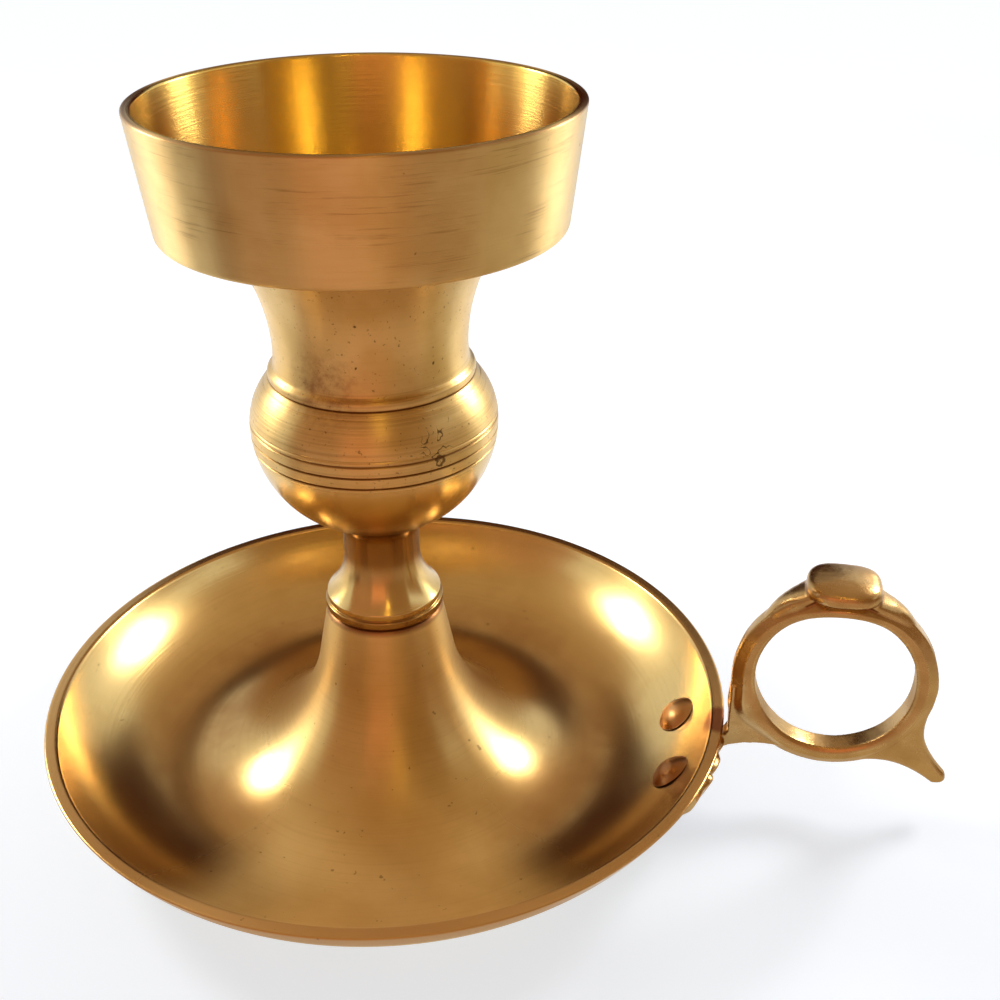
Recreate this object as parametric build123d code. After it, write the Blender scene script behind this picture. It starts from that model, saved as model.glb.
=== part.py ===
from build123d import *
import math
import os

# A turned and cast brass chamberstick: a dished saucer with a hollow cone, a vase-shaped stem that
# holds the candle, a straight-sided cup round the socket's mouth, and a cast finger loop riveted on.
# Millimetres. +Z is up, the origin is on the turning axis at the resting face, +X points at the loop.

# Fits
slip_gap = 0.05            # round pieces that are pushed into each other, on the radius
seat_gap = 0.02            # a rivet head over its curved seat
rim_gap = 0.3              # cast loop clear of the saucer's rim
overrun = 2.0              # how far a cutter runs past what it cuts

# Saucer
saucer_radius = 44.0       # outer edge of the rim
saucer_height = 10.5       # rim above the resting face
saucer_wall = 1.5
trough_radius = 26.5       # ring where the dish is deepest
foot_facing = 0.25         # turned off the underside so that it stands flat
rim_break = 0.25           # broken corners of the rim
cone_radius = 7.3          # top of the cone, where the stem stands
cone_height = 23.4
cone_sweep = 18.1          # round of the dish where it runs up into the cone
cone_web = 2.0             # flat web that closes the cone

# Stem, heights above the cone's top
band_radius = 7.5          # plain band at the foot
band_height = 1.7
quirk_depth = 0.45         # small groove between the band and the knop
quirk_height = 0.6
knop_radius = 7.15
knop_lip = 0.9             # straight edge of the knop
waist_radius = 4.7
waist_height = 8.3
bulb_radius = 14.6
bulb_height = 25.9         # the bulb's equator
bulb_inset = 2.0           # centre of the underside's curve out from the turning axis
shoulder_height = 32.3     # top of the bulb
shoulder_stand = 0.4       # how far it stands out beyond the throat
bead_height = 0.9          # raised ring on the shoulder
bead_stand = 0.15
throat_height = 35.2       # narrowest part of the neck
throat_wall = 1.2          # brass left round the socket there
neck_radius = 16.2         # flared seat under the cup
neck_height = 49.6
score_depth = 0.22         # turned lines on the bulb
score_width = 0.4
score_heights = (23.9, 25.35, 26.7, 27.25)

# Candle socket and its spun lip
socket_radius = 10.0
socket_depth = 24.0
collar_wall = 1.4          # collar that passes through the cup's floor
lip_stand = 1.2            # the collar's end, spun out over the floor
lip_height = 0.7

# Cup
cup_base_radius = 22.5
cup_rim_radius = 24.2
cup_height = 13.3
cup_wall = 1.1
cup_floor = 1.1
cup_corner = 0.6           # rounded edge under the wall
cup_break = 0.2

# Screw and washer that hold the stem down, inside the cone
screw_radius = 2.5
screw_grip = 8.0           # thread inside the stem
tap_spare = 1.5            # tapped hole beyond the screw's end
pilot_short = 0.5          # the spigot under the stem stops short of the web's underside
screw_head_radius = 4.2
screw_head_height = 2.6
slot_width = 1.1
slot_depth = 1.2
washer_room = 0.6          # washer inside the cone's top
washer_bearing = 1.2       # washer over the hole for the stem's spigot
washer_thickness = 0.8
washer_slack = 0.2         # washer bore over the screw

# Finger loop
finger_half_length = 9.5   # hole for the finger
finger_half_height = 10.1
loop_lift = 8.3            # centre of the hole above the rim
loop_thickness = 2.8       # square to the hole's edge, at the sides and below
loop_width = 3.4           # across, at the sides and below
shoulder_thickness = 2.3   # the same two under the thumb pad
shoulder_width = 6.0
widening_power = 6         # how late the loop widens on its way up to the pad
section_step = 30          # degrees between the sections that shape the loop
pad_length = 9.4
pad_width = 8.0
pad_thickness = 2.2
pad_setback = 0.8          # pad centre towards the saucer from the loop's centre
pad_top = 14.2             # top of the pad above the loop's centre
pad_round = 0.8
spur_angle = -58.0         # where the spur leaves the loop, round the hole from its far side
spur_reach = 15.2          # tip beyond the loop's centre
spur_drop = 14.7           # tip below the loop's centre
spur_bend_shares = (0.78, 0.80)   # of the reach and the drop, where the spur bends
spur_section_shares = (0, 0.3, 0.6, 1)
spur_root_depth = 5.6
spur_root_width = 3.2
spur_tip_depth = 1.8
spur_tip_width = 1.9
spur_tip_radius = 1.1      # ball that rounds the tip, a little fuller than the spur's end
root_width = 3.2           # web between the loop and its plate
root_rise = 6.0            # the web's upper end above the rim
root_arch = 2.7            # how far the web's underside arches above the loop's underside
root_turns = (225, 255)    # where the web's inner corners meet the loop, degrees round the hole

# Plate of the loop and its two rivets; drops and lengths run along the dish's wall, and the half
# angle and the spread are degrees round the turning axis
plate_thickness = 1.6
plate_drop = 0.75          # its upper edge below the rim
plate_length = 10.3
plate_half_angle = 17.0
plate_corner = 2.6
root_length = 2.75         # the web's foot on the plate
rivet_drop = 7.0           # rivets below the plate's upper edge
rivet_spread = 8.8
rivet_radius = 1.5
rivet_head_radius = 2.3
rivet_head_height = 1.2

# Worked out from the sizes above
dish_run = saucer_radius - trough_radius
dish_depth = saucer_height + foot_facing
underside_radius = (dish_run**2 + dish_depth**2) / (2 * dish_depth)
dish_radius = underside_radius - saucer_wall
dish_centre = (trough_radius, underside_radius - foot_facing)
rim_angle = math.degrees(math.atan2(dish_run, dish_centre[1] - saucer_height))
plate_inner = underside_radius + slip_gap
plate_outer = plate_inner + plate_thickness
plate_high_angle = rim_angle - math.degrees(plate_drop / plate_inner)
plate_low_angle = plate_high_angle - math.degrees(plate_length / plate_inner)
root_low_angle = plate_high_angle - math.degrees(root_length / plate_inner)
rivet_angle = plate_high_angle - math.degrees(rivet_drop / plate_inner)
throat_radius = socket_radius + throat_wall
shoulder_radius = throat_radius + shoulder_stand
spigot_radius = socket_radius + collar_wall
lip_radius = spigot_radius + lip_stand
washer_radius = cone_radius - saucer_wall - washer_room
pilot_radius = washer_radius - washer_bearing
cup_base = cone_height + neck_height
lip_top = cup_base + cup_floor + lip_height
loop_x = saucer_radius + rim_gap + loop_thickness + finger_half_length
loop_z = saucer_height + loop_lift


def round_point(centre, radius, degrees_from_low):
    """Point on a circle, at an angle from its lowest point towards the rim."""
    turn = math.radians(degrees_from_low)
    return (centre[0] + radius * math.sin(turn), centre[1] - radius * math.cos(turn))


def low_angle(centre, point):
    return math.degrees(math.atan2(point[0] - centre[0], centre[1] - point[1]))


def arc(centre, radius, start, end):
    """Circular arc between two points that lie at these angles from the circle's lowest point."""
    return ThreePointArc(
        round_point(centre, radius, start),
        round_point(centre, radius, (start + end) / 2),
        round_point(centre, radius, end),
    )


def turned(*edges):
    """Solid turned about Z from outline edges given as (radius, height)."""
    return revolve(Plane.XZ * make_face(edges), Axis.Z)


def wall_plane(azimuth, angle):
    """Plane at the centre of the dish's section, its Z square to the wall at that place."""
    across = math.radians(azimuth)
    low, high = (round_point(dish_centre, radius, angle) for radius in (0, 1))
    outward = (high[0] - low[0], high[1] - low[1])
    origin = (low[0] * math.cos(across), low[0] * math.sin(across), low[1])
    normal = (outward[0] * math.cos(across), outward[0] * math.sin(across), outward[1])
    return Plane(origin=origin, z_dir=normal)


def rivet_holes():
    """Drills for both rivets, long enough for the wall and the plate."""
    length = saucer_wall + plate_thickness + 2 * overrun
    drill = Pos(0, 0, dish_radius - overrun) * Cylinder(
        rivet_radius + slip_gap, length, align=(Align.CENTER, Align.CENTER, Align.MIN)
    )
    return [wall_plane(side * rivet_spread, rivet_angle) * drill for side in (-1, 1)]


def make_saucer():
    """Dish of even wall that runs up into a hollow cone, with a flat web for the stem to stand on."""
    rim_in = math.sqrt(dish_radius**2 - (dish_centre[1] - saucer_height) ** 2)
    inner_angle = low_angle(dish_centre, (trough_radius + rim_in, saucer_height))
    foot_out = (trough_radius + math.sqrt(underside_radius**2 - dish_centre[1] ** 2), 0)

    # from the deepest ring inwards the dish has its own round, which ends square to the cone's flank
    top = (cone_radius, cone_height)
    sweep_under = cone_sweep + saucer_wall
    sweep_centre = (trough_radius, sweep_under - foot_facing)
    to_top = math.dist(sweep_centre, top)
    flank_angle = low_angle(sweep_centre, top) + math.degrees(math.acos(cone_sweep / to_top))
    foot_in = (trough_radius - math.sqrt(sweep_under**2 - sweep_centre[1] ** 2), 0)

    flank = round_point(sweep_centre, cone_sweep, flank_angle)
    flank_in = round_point(sweep_centre, sweep_under, flank_angle)
    slope = (top[0] - flank[0]) / (top[1] - flank[1])
    web_low = cone_height - cone_web
    web_edge = (flank_in[0] + slope * (web_low - flank_in[1]), web_low)
    hole = pilot_radius + slip_gap

    saucer = turned(
        Line((hole, cone_height), top),
        Line(top, flank),
        arc(sweep_centre, cone_sweep, flank_angle, 0),
        arc(dish_centre, dish_radius, 0, inner_angle),
        Line(round_point(dish_centre, dish_radius, inner_angle), (saucer_radius, saucer_height)),
        arc(dish_centre, underside_radius, rim_angle, low_angle(dish_centre, foot_out)),
        Line(foot_out, foot_in),
        arc(sweep_centre, sweep_under, low_angle(sweep_centre, foot_in), flank_angle),
        Line(flank_in, web_edge),
        Line(web_edge, (hole, web_low)),
        Line((hole, web_low), (hole, cone_height)),
    )
    rim_edges = saucer.edges().filter_by(GeomType.CIRCLE).filter_by_position(
        Axis.Z, saucer_height - rim_break, saucer_height + rim_break
    )
    saucer = chamfer(rim_edges.sort_by(SortBy.RADIUS)[-2:], rim_break)
    return saucer - rivet_holes()


def make_stem():
    """Vase-shaped stem: band, knop, waist, bulb and flared neck, bored for the candle from above."""
    seat = cone_height
    quirk_low = seat + band_height
    knop_low = quirk_low + quirk_height
    knop_top = knop_low + knop_lip
    waist_z, bulb_z = seat + waist_height, seat + bulb_height
    shoulder_z, throat_z = seat + shoulder_height, seat + throat_height
    bead_top = shoulder_z + bead_height

    # hollow flank from the knop up to the waist, standing upright at the waist
    flank_in, flank_up = knop_radius - waist_radius, waist_z - knop_top
    flank_radius = (flank_in**2 + flank_up**2) / (2 * flank_in)
    flank_centre = (waist_radius + flank_radius, waist_z)

    # hollow above the waist that meets the round underside of the bulb without a corner
    between = bulb_z - waist_z
    waist_in, bulb_in = waist_radius - bulb_inset, bulb_radius - bulb_inset
    hollow_radius = (waist_in**2 + between**2 - bulb_in**2) / (2 * (bulb_in - waist_in))
    hollow_centre = (waist_radius + hollow_radius, waist_z)
    bulb_centre = (bulb_inset, bulb_z)
    meet_angle = low_angle(bulb_centre, hollow_centre)

    # tighter shoulder above the equator
    drop_in, drop_up = bulb_radius - shoulder_radius, shoulder_z - bulb_z
    shoulder_arc = (drop_in**2 + drop_up**2) / (2 * drop_in)
    shoulder_centre = (bulb_radius - shoulder_arc, bulb_z)

    # neck that stands upright at the throat and flares to the cup
    flare_out, flare_up = neck_radius - throat_radius, cup_base - throat_z
    flare_radius = (flare_out**2 + flare_up**2) / (2 * flare_out)
    flare_centre = (throat_radius + flare_radius, throat_z)
    neck_foot = (flare_centre[0] - math.sqrt(flare_radius**2 - (throat_z - bead_top) ** 2), bead_top)

    lip_low = cup_base + cup_floor
    socket_floor = lip_top - socket_depth
    pilot_low = seat - cone_web + pilot_short
    tap_top = seat + screw_grip + tap_spare
    tap_radius = screw_radius + slip_gap
    bead_out = shoulder_radius + bead_stand

    stem = turned(
        Polyline(
            (tap_radius, tap_top),
            (tap_radius, pilot_low),
            (pilot_radius, pilot_low),
            (pilot_radius, seat),
            (band_radius, seat),
            (band_radius, quirk_low),
            (knop_radius - quirk_depth, quirk_low + quirk_height / 2),
            (knop_radius, knop_low),
            (knop_radius, knop_top),
        ),
        arc(flank_centre, flank_radius, low_angle(flank_centre, (knop_radius, knop_top)), -90),
        arc(hollow_centre, hollow_radius, -90, meet_angle - 180),
        arc(bulb_centre, bulb_in, meet_angle, 90),
        arc(shoulder_centre, shoulder_arc, 90, low_angle(shoulder_centre, (shoulder_radius, shoulder_z))),
        Line((shoulder_radius, shoulder_z), (bead_out, shoulder_z)),
        Line((bead_out, shoulder_z), (bead_out, bead_top)),
        Line((bead_out, bead_top), neck_foot),
        arc(flare_centre, flare_radius, low_angle(flare_centre, neck_foot),
            low_angle(flare_centre, (neck_radius, cup_base))),
        Polyline(
            (neck_radius, cup_base),
            (spigot_radius, cup_base),
            (spigot_radius, lip_low),
            (lip_radius, lip_low),
            (lip_radius - lip_height / 2, lip_top),
            (socket_radius, lip_top),
            (socket_radius, socket_floor),
            (0, socket_floor),
            (0, tap_top),
            (tap_radius, tap_top),
        ),
    )
    return stem - turned_lines()


def turned_lines():
    """V-shaped lines cut round the bulb at its own radius."""
    cutters = []
    for height in score_heights:
        above = height - bulb_height
        if above < 0:
            radius = bulb_inset + math.sqrt((bulb_radius - bulb_inset) ** 2 - above**2)
        else:
            inward, up = bulb_radius - shoulder_radius, shoulder_height - bulb_height
            bend = (inward**2 + up**2) / (2 * inward)
            radius = bulb_radius - bend + math.sqrt(bend**2 - above**2)
        z = cone_height + height
        floor, mouth = radius - score_depth, radius + score_depth
        cutters.append(turned(Polyline(
            (floor, z), (mouth, z - score_width), (mouth, z + score_width), (floor, z),
        )))
    return cutters


def make_cup():
    """Straight-sided cup that widens upwards, with a hole in its floor for the stem's collar."""
    lean = (cup_rim_radius - cup_base_radius) / cup_height
    top = cup_base + cup_height
    floor_top = cup_base + cup_floor
    hole = spigot_radius + slip_gap
    across = cup_wall * math.hypot(1, lean)
    cup = turned(
        Polyline(
            (hole, cup_base),
            (cup_base_radius, cup_base),
            (cup_rim_radius, top),
            (cup_rim_radius - across, top),
            (cup_base_radius - across + lean * cup_floor, floor_top),
            (hole, floor_top),
            (hole, cup_base),
        )
    )
    rings = cup.edges().filter_by(GeomType.CIRCLE)
    base_edge = rings.filter_by_position(Axis.Z, cup_base - cup_break, cup_base + cup_break)
    cup = fillet(base_edge.sort_by(SortBy.RADIUS)[-1], cup_corner)
    rim_edges = cup.edges().filter_by(GeomType.CIRCLE).filter_by_position(
        Axis.Z, top - cup_break, top + cup_break
    )
    return chamfer(rim_edges, cup_break)


def make_washer():
    outer = Cylinder(washer_radius, washer_thickness, align=(Align.CENTER, Align.CENTER, Align.MAX))
    bore = Cylinder(screw_radius + washer_slack, 2 * (washer_thickness + overrun))
    return Pos(0, 0, cone_height - cone_web) * (outer - bore)


def make_screw():
    """Round-headed slotted screw, driven up from inside the cone."""
    head_top = cone_height - cone_web - washer_thickness
    head_low = head_top - screw_head_height
    tip = cone_height + screw_grip
    dome = (screw_head_radius**2 + screw_head_height**2) / (2 * screw_head_height)
    dome_centre = (0, head_low + dome)
    point = screw_radius / 2
    screw = turned(
        arc(dome_centre, dome, 0, low_angle(dome_centre, (screw_head_radius, head_top))),
        Polyline(
            (screw_head_radius, head_top),
            (screw_radius, head_top),
            (screw_radius, tip - point),
            (screw_radius - point, tip),
            (0, tip),
            (0, head_low),
        ),
    )
    slot = Pos(0, 0, head_low - overrun) * Box(
        2 * (screw_head_radius + overrun), slot_width, slot_depth + overrun,
        align=(Align.CENTER, Align.CENTER, Align.MIN),
    )
    return screw - slot


def make_rivet(side):
    """Rivet with a domed head inside the dish and another on the loop's plate."""
    bowed = dish_radius - math.sqrt(dish_radius**2 - rivet_head_radius**2)
    inner = dish_radius - bowed - seat_gap - slip_gap
    outer = plate_outer + seat_gap
    dome = (rivet_head_radius**2 + rivet_head_height**2) / (2 * rivet_head_height)
    edge = math.degrees(math.asin(rivet_head_radius / dome))
    low_centre = (0, inner - rivet_head_height + dome)
    high_centre = (0, outer + rivet_head_height - dome)
    rivet = turned(
        arc(low_centre, dome, 0, edge),
        Polyline(
            (rivet_head_radius, inner),
            (rivet_radius, inner),
            (rivet_radius, outer),
            (rivet_head_radius, outer),
        ),
        arc(high_centre, dome, 180 - edge, 180),
        Line((0, outer + rivet_head_height), (0, inner - rivet_head_height)),
    )
    return wall_plane(side * rivet_spread, rivet_angle) * rivet


def loop_point(degrees):
    """Middle of the loop at an angle round its hole, the way out from there, and its thickness."""
    turn = math.radians(degrees)
    across, up = math.cos(turn) / finger_half_length, math.sin(turn) / finger_half_height
    out = (across / math.hypot(across, up), up / math.hypot(across, up))
    rise = max(0, math.sin(turn))
    thickness = loop_thickness + (shoulder_thickness - loop_thickness) * rise
    middle = (
        loop_x + finger_half_length * math.cos(turn) + out[0] * thickness / 2,
        loop_z + finger_half_height * math.sin(turn) + out[1] * thickness / 2,
    )
    return middle, out, thickness


def loop_section(degrees):
    """Oval section of the loop; it widens towards the thumb pad."""
    middle, out, thickness = loop_point(degrees)
    rise = max(0, math.sin(math.radians(degrees)))
    width = loop_width + (shoulder_width - loop_width) * rise**widening_power
    plane = Plane(origin=(middle[0], 0, middle[1]), x_dir=(out[0], 0, out[1]), z_dir=(-out[1], 0, out[0]))
    return plane * Ellipse(thickness / 2, width / 2)


def make_ring():
    """The two halves of the loop, each lofted between its underside and the thumb pad."""
    right = loft([loop_section(turn) for turn in range(-90, 90 + section_step, section_step)])
    left = loft([loop_section(turn) for turn in range(90, 270 + section_step, section_step)])
    return right + left


def make_pad():
    oval = extrude(Ellipse(pad_length / 2, pad_width / 2), -pad_thickness)
    oval = fillet(oval.edges().filter_by(GeomType.ELLIPSE), pad_round)
    return Pos(loop_x - pad_setback, 0, loop_z + pad_top) * oval


def make_spur():
    """Tail of the loop: it leaves the lower right of the ring and thins to a rounded tip."""
    start = loop_point(spur_angle)[0]
    bend = (loop_x + spur_reach * spur_bend_shares[0], loop_z - spur_drop * spur_bend_shares[1])
    tip = (loop_x + spur_reach - spur_tip_radius, loop_z - spur_drop + spur_tip_radius)
    path = Plane.XZ * Bezier(start, bend, tip)
    sections = []
    for along_share in spur_section_shares:
        depth = spur_root_depth + (spur_tip_depth - spur_root_depth) * along_share
        width = spur_root_width + (spur_tip_width - spur_root_width) * along_share
        plane = Plane(
            origin=path.position_at(along_share), x_dir=(0, 1, 0), z_dir=path.tangent_at(along_share)
        )
        sections.append(plane * Ellipse(width / 2, depth / 2))
    tip_ball = Pos(path.position_at(1)) * Sphere(spur_tip_radius)
    return loft(sections) + tip_ball


def make_root():
    """Web that joins the loop to its plate, arched underneath."""
    high = round_point(dish_centre, (plate_inner + plate_outer) / 2, plate_high_angle)
    low = round_point(dish_centre, plate_outer - slip_gap, root_low_angle)
    beside_rim = saucer_radius + rim_gap
    rise_z = saucer_height + root_rise
    inside, foot = (loop_point(turn)[0] for turn in root_turns)
    arch_z = loop_z - finger_half_height - loop_thickness + root_arch
    outline = [
        Polyline(
            foot,
            inside,
            (beside_rim + loop_thickness / 2, rise_z),
            (beside_rim, rise_z),
            (beside_rim, saucer_height),
            high,
            low,
        ),
        ThreePointArc(low, ((low[0] + foot[0]) / 2, arch_z), foot),
    ]
    return extrude(Plane.XZ * make_face(outline), root_width / 2, both=True)


def make_plate():
    """Curved plate that hugs the outside of the dish's wall."""
    strip = make_face([
        arc(dish_centre, plate_inner, plate_low_angle, plate_high_angle),
        Line(round_point(dish_centre, plate_inner, plate_high_angle),
             round_point(dish_centre, plate_outer, plate_high_angle)),
        arc(dish_centre, plate_outer, plate_high_angle, plate_low_angle),
        Line(round_point(dish_centre, plate_outer, plate_low_angle),
             round_point(dish_centre, plate_inner, plate_low_angle)),
    ])
    strip = Rot(0, 0, -plate_half_angle) * (Plane.XZ * strip)
    plate = revolve(strip, Axis.Z, 2 * plate_half_angle)
    return fillet(plate.edges().filter_by(GeomType.LINE), plate_corner)


def make_finger_loop():
    """One casting: ring, thumb pad, spur, web and plate, drilled for the rivets."""
    ring_half = loop_thickness / 2
    ring_middle = Ellipse(finger_half_length + ring_half, finger_half_height + ring_half)
    ring_middle = Plane.XZ * Pos(loop_x, loop_z) * ring_middle
    branches = make_spur() + make_root() - extrude(ring_middle, root_width, both=True)
    casting = make_ring() + make_pad() + branches + make_plate()
    return casting - rivet_holes()


def main():
    os.makedirs("parts", exist_ok=True)
    pieces = {
        "saucer": make_saucer(),
        "stem": make_stem(),
        "candle_cup": make_cup(),
        "base_washer": make_washer(),
        "base_screw": make_screw(),
        "finger_loop": make_finger_loop(),
        "front_rivet": make_rivet(-1),
        "back_rivet": make_rivet(1),
    }
    for name, piece in pieces.items():
        export_step(piece, f"parts/{name}.step")
        print(name, "volume", round(piece.volume, 1), "solids", len(piece.solids()))


main()
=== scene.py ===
import math

import bmesh
import bpy
from mathutils import Matrix, Vector, noise


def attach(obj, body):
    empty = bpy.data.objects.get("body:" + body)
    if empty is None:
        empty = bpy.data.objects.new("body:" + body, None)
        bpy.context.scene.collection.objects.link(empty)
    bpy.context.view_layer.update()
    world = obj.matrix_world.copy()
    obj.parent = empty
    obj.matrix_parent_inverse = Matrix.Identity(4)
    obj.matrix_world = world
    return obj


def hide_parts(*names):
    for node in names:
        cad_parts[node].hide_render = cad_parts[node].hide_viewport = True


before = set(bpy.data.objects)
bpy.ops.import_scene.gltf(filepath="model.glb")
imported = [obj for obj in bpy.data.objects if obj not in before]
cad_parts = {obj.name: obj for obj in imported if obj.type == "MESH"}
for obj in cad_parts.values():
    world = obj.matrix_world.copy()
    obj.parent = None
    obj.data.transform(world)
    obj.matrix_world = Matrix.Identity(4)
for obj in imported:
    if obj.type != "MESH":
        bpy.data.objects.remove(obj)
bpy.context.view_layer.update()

scene = bpy.context.scene
mm = 0.001
print("frame loaded:", ", ".join(sorted(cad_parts)))


# Small tools

def hexColor(text):   # sRGB hex to linear RGBA
    parts = [int(text[i:i + 2], 16) / 255 for i in (1, 3, 5)]
    return [c / 12.92 if c <= 0.04045 else ((c + 0.055) / 1.055) ** 2.4 for c in parts] + [1]


def addNode(tree, kind, links=None, **settings):   # links: sockets to join or values to set
    node = tree.nodes.new(kind if "Node" in kind else "ShaderNode" + kind)
    for name, value in settings.items():
        setattr(node, name, value)
    for key, value in (links or {}).items():
        if isinstance(value, bpy.types.NodeSocket):
            tree.links.new(value, node.inputs[key])
        else:
            node.inputs[key].default_value = value
    return node


def wire(tree, kind, links=None, out=0, **settings):   # the same, for one of its outputs
    return addNode(tree, kind, links, **settings).outputs[out]


def startMaterial(name):
    material = bpy.data.materials.new(name)
    material.use_nodes = True
    tree = material.node_tree
    tree.nodes.clear()
    return material, tree


def endMaterial(tree, links):   # shader and output; constant values go straight on the shader's sockets
    shader = addNode(tree, "BsdfPrincipled", links)
    addNode(tree, "OutputMaterial", {"Surface": shader.outputs[0]})


def turnedCoords(tree):   # place, radius, height and direction round the turning axis, in metres
    place = wire(tree, "TexCoord", out="Object")
    flat = wire(tree, "VectorMath", {0: place, 1: (1, 1, 0)}, operation="MULTIPLY")
    radius = wire(tree, "VectorMath", {0: flat}, out="Value", operation="LENGTH")
    around = wire(tree, "VectorMath", {0: flat}, operation="NORMALIZE")
    height = wire(tree, "SeparateXYZ", {0: place}, out="Z")
    return place, radius, height, around


def toolLines(tree, radius, height, around, pitch, sweep, detail=2.0):
    # noise drawn out round the axis: it changes fast across the cut and slowly along it
    across = wire(tree, "Math", {0: radius, 1: 1 / pitch}, operation="MULTIPLY")
    up = wire(tree, "Math", {0: height, 1: 1 / pitch}, operation="MULTIPLY")
    stretched = wire(tree, "VectorMath", {0: around, "Scale": sweep}, operation="SCALE")
    split = addNode(tree, "SeparateXYZ", {0: stretched})
    vector = wire(tree, "CombineXYZ", {0: split.outputs[0], 1: split.outputs[1], 2: across})
    return wire(tree, "TexNoise", {"Vector": vector, "W": up, "Scale": 1.0, "Detail": detail, "Roughness": 0.6},
                noise_dimensions="4D")


def cloudedBrass(tree, place, finish, detail, roughness=0.5, top=0.7):   # its clouds, and its colour with them
    clouds = wire(tree, "TexNoise", {"Vector": place, "Scale": 1 / (finish["cloudSize"] * mm), "Detail": detail,
                                     "Roughness": roughness})
    cloudy = wire(tree, "MapRange", {0: clouds, 1: 0.35, 2: top}, interpolation_type="SMOOTHSTEP")
    color = wire(tree, "Mix", {0: cloudy, 6: hexColor(finish["brass"]), 7: hexColor(finish["cloud"])}, out=2,
                 data_type="RGBA")
    return clouds, color


def layColors(tree, color, finish, layers):   # each share lays its tone over what is there
    for share, tone in layers:
        color = wire(tree, "Mix", {0: share, 6: color, 7: hexColor(finish[tone])}, out=2, data_type="RGBA")
    return color


def apartFrom(tree, value, level):   # how far a value is from a level, either way
    less = wire(tree, "Math", {0: value, 1: level}, operation="SUBTRACT")
    return wire(tree, "Math", {0: less}, operation="ABSOLUTE")


def awayFrom(tree, place, spot):   # distance from a spot given in mm
    return wire(tree, "VectorMath", {0: place, 1: [v * mm for v in spot]}, out="Value", operation="DISTANCE")


def endTurned(tree, color, rough, streak, bump):   # glints stretch across the tool's lines
    tangent = wire(tree, "Tangent", direction_type="RADIAL", axis="Z")
    endMaterial(tree, {"Base Color": color, "Metallic": 1.0, "Roughness": rough, "Anisotropic": streak,
                       "Anisotropic Rotation": 0.25, "Tangent": tangent, "Normal": bump})


# Camera: the photograph's own viewpoint

cameraView = {
    "location": (0.04012, -0.13544, 0.11665),
    "heading": 10.51,   # degrees left of +Y
    "pitch": 29.26,     # degrees below the horizon
    "roll": 0.21,
    "lens": 47.38,
}


def addCamera(view):
    data = bpy.data.cameras.new("camera")
    data.lens, data.sensor_width = view["lens"], 36
    data.clip_start, data.clip_end = 0.005, 20
    camera = bpy.data.objects.new("camera", data)
    scene.collection.objects.link(camera)
    turn = (Matrix.Rotation(math.radians(view["heading"]), 4, "Z")
            @ Matrix.Rotation(math.radians(90 - view["pitch"]), 4, "X")
            @ Matrix.Rotation(math.radians(-view["roll"]), 4, "Z"))
    camera.matrix_world = Matrix.Translation(view["location"]) @ turn
    scene.camera = camera


addCamera(cameraView)
print("camera set")


# Lathe: rows of a profile, turned round Z by a node tree

def arcRows(centre, radius, start, end, step):   # angles from the circle's lowest point, outwards
    count = max(3, math.ceil(abs(math.radians(end - start)) * radius / step))
    turns = [math.radians(start + (end - start) * i / count) for i in range(count + 1)]
    return [(centre[0] + radius * math.sin(t), centre[1] - radius * math.cos(t)) for t in turns]


def lowAngle(centre, point):
    return math.degrees(math.atan2(point[0] - centre[0], centre[1] - point[1]))


def easeCorners(rows, size):   # small rounds at the corners, held by one extra row on each side
    clean = [rows[0]]
    for row in rows[1:]:
        if math.dist(row, clean[-1]) > 1e-4:
            clean.append(row)
    eased = [clean[0]]
    for before, here, after in zip(clean, clean[1:], clean[2:]):
        a, b = Vector(before) - Vector(here), Vector(after) - Vector(here)
        if a.angle(b) > math.radians(160):
            eased.append(here)
            continue
        reach = min(size, 0.3 * a.length, 0.3 * b.length)
        a, b = a.normalized() * reach, b.normalized() * reach
        spot = Vector(here)
        eased.append(tuple(spot + a * 1.5))
        for t in (0, 0.25, 0.5, 0.75, 1):
            eased.append(tuple(spot + a * (1 - t) ** 2 + b * t ** 2))
        eased.append(tuple(spot + b * 1.5))
    return eased + [clean[-1]]


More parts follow.
